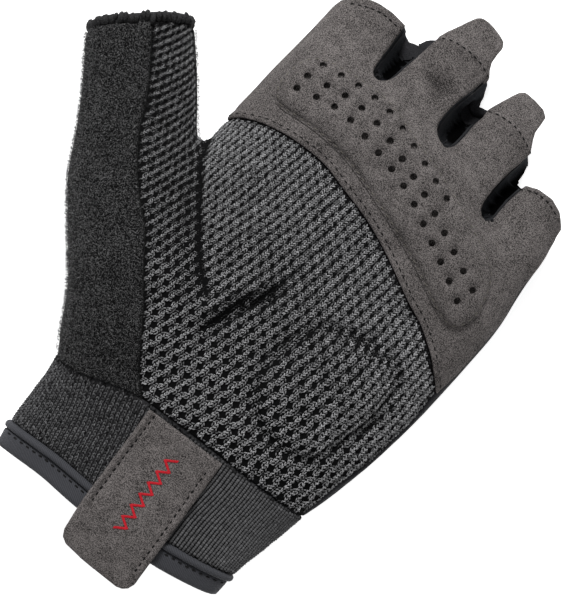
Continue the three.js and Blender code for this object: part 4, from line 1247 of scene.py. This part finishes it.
thread_finish = napped(
    "thread", (0.06, 0.055, 0.048), (0.26, 0.24, 0.21),
    fibre=4.0, contrast=1.2, depth=0.05, roughness=0.6)
dark_thread = napped(
    "dark_thread", (0.003, 0.003, 0.003), (0.014, 0.014, 0.014),
    fibre=4.0, contrast=1.2, depth=0.05, roughness=0.6, sheen=0.01)
suede_surface = surface_of(suede, pad)
stitches("pad_stitches", np.concatenate([PAD, PAD[:1]]), suede_surface, thread_finish, "edging",
         length=1.5, pitch=2.5, width=0.36, lift=0.1, lean=0.25)
band_line = np.array([(x, y) for x, y in SUEDE_SEAM if -50.5 < x < 51]) + np.array([0.3, 1.7])
stitches("suede_edge_stitches", band_line, suede_surface, dark_thread, "edging", length=1.3, pitch=2.3,
         width=0.4)
for name, points in (("index", [(-42.4, 79.5), (-37.2, 81.7), (-32.2, 82.7), (-26.4, 82.4)]),
                     ("middle", [(-15.0, 89.0), (-12.3, 90.0), (-6.9, 90.6), (-2.0, 90.2), (2.3, 89.2)]),
                     ("ring", [(9.7, 81.4), (13.2, 82.2), (18.4, 82.3), (22.8, 81.2), (26.4, 79.9)]),
                     ("little", [(31.9, 69.6), (35.0, 71.2), (39.5, 71.5), (43.7, 70.5)])):
    stitches("hem_stitches_" + name, np.array(points), suede_surface, dark_thread, "edging",
             length=1.3, pitch=2.0, width=0.45)
tab_surface = surface_of(tab)
for name, line in TAB_SEAMS.items():
    stitches("pull_tab_stitches_" + name, line, tab_surface, dark_thread, "edging",
             length=1.25, pitch=2.1, width=0.7, lift=-0.02)
seam_surface = surface_of(knit, terry)
stitches("terry_seam_thread", TERRY_SEAM[6:-3], seam_surface, dark_thread, "edging",
         length=2.3, pitch=2.0, width=0.5, lift=0.05)
cuff_surface = surface_of(cuff, binding)
for name, low, high in (("left", -39.5, -10.5), ("right", 19.5, 39.0)):
    points = np.array([(x, y) for x, y in PIPING_LINE if low < x < high]) - np.array([0, PIPING + 0.9])
    stitches("binding_stitches_" + name, points, cuff_surface, dark_thread, "edging",
             length=1.4, pitch=2.2, width=0.5)

# Red satin stitch down the middle of the pull tab: one plain zigzag line of short threads that
# lie close beside each other and slant
red_thread = napped(
    "red_thread", (0.34, 0.008, 0.014), (0.78, 0.03, 0.048),
    fibre=4.0, contrast=1.4, depth=0.08, roughness=0.5)
zigzag = np.array([(3.6 + 1.6 * (-1) ** i, -57.5 - 2.05 * i) for i in range(14)])
zigzag[:, 0] += np.linspace(0, 1.2, len(zigzag))
for i, (start, end) in enumerate(zip(zigzag, zigzag[1:])):
    stitches("zigzag_%02d" % i, np.array([start, (start + end) / 2, end]), tab_surface, red_thread,
             "edging",
             length=1.1, pitch=0.34, width=0.34, lift=0.12, lean=0.9)

# The studio: a pale floor that glows a little, a strong round lamp beyond the fingers, a large
# weak one beyond the cuff, and the camera straight above
floor_mesh = bpy.data.meshes.new("floor")
floor_mesh.from_pydata([(-3, -3, -0.0003), (3, -3, -0.0003), (3, 3, -0.0003), (-3, 3, -0.0003)], [],
                       [(0, 1, 2, 3)])
floor = linked("floor", floor_mesh)
floor_finish, tree, shader = new_finish("floor", 0.9)
shader.inputs["Base Color"].default_value = (0.92, 0.92, 0.92, 1)
shader.inputs["Emission Color"].default_value = (1, 1, 1, 1)
shader.inputs["Emission Strength"].default_value = 0.8
floor_mesh.materials.append(floor_finish)


def softbox(name, place, size, power):
    lamp = bpy.data.lights.new(name, "AREA")
    lamp.shape = "DISK"
    lamp.size = size
    lamp.energy = power
    stand = linked(name, lamp)
    stand.location = place
    stand.rotation_euler = (-Vector(place)).to_track_quat("-Z", "Y").to_euler()


softbox("key", (-1.15, 1.72, 1.65), 0.8, 64)
softbox("fill", (-0.5, -1.9, 1.9), 1.6, 14)
world = bpy.data.worlds.new("studio")
bpy.context.scene.world = world
world.use_nodes = True
world.node_tree.nodes["Background"].inputs["Color"].default_value = (1, 1, 1, 1)
world.node_tree.nodes["Background"].inputs["Strength"].default_value = 0.26
bpy.context.scene.view_settings.view_transform = "Standard"

camera = linked("camera", bpy.data.cameras.new("camera"))
camera.data.lens = 100
camera.data.sensor_width = 36
camera.location = (-0.0021, -0.0017, 0.512)
camera.rotation_euler = (0, 0, math.radians(40))
camera.data.clip_start = 0.01
bpy.context.scene.camera = camera
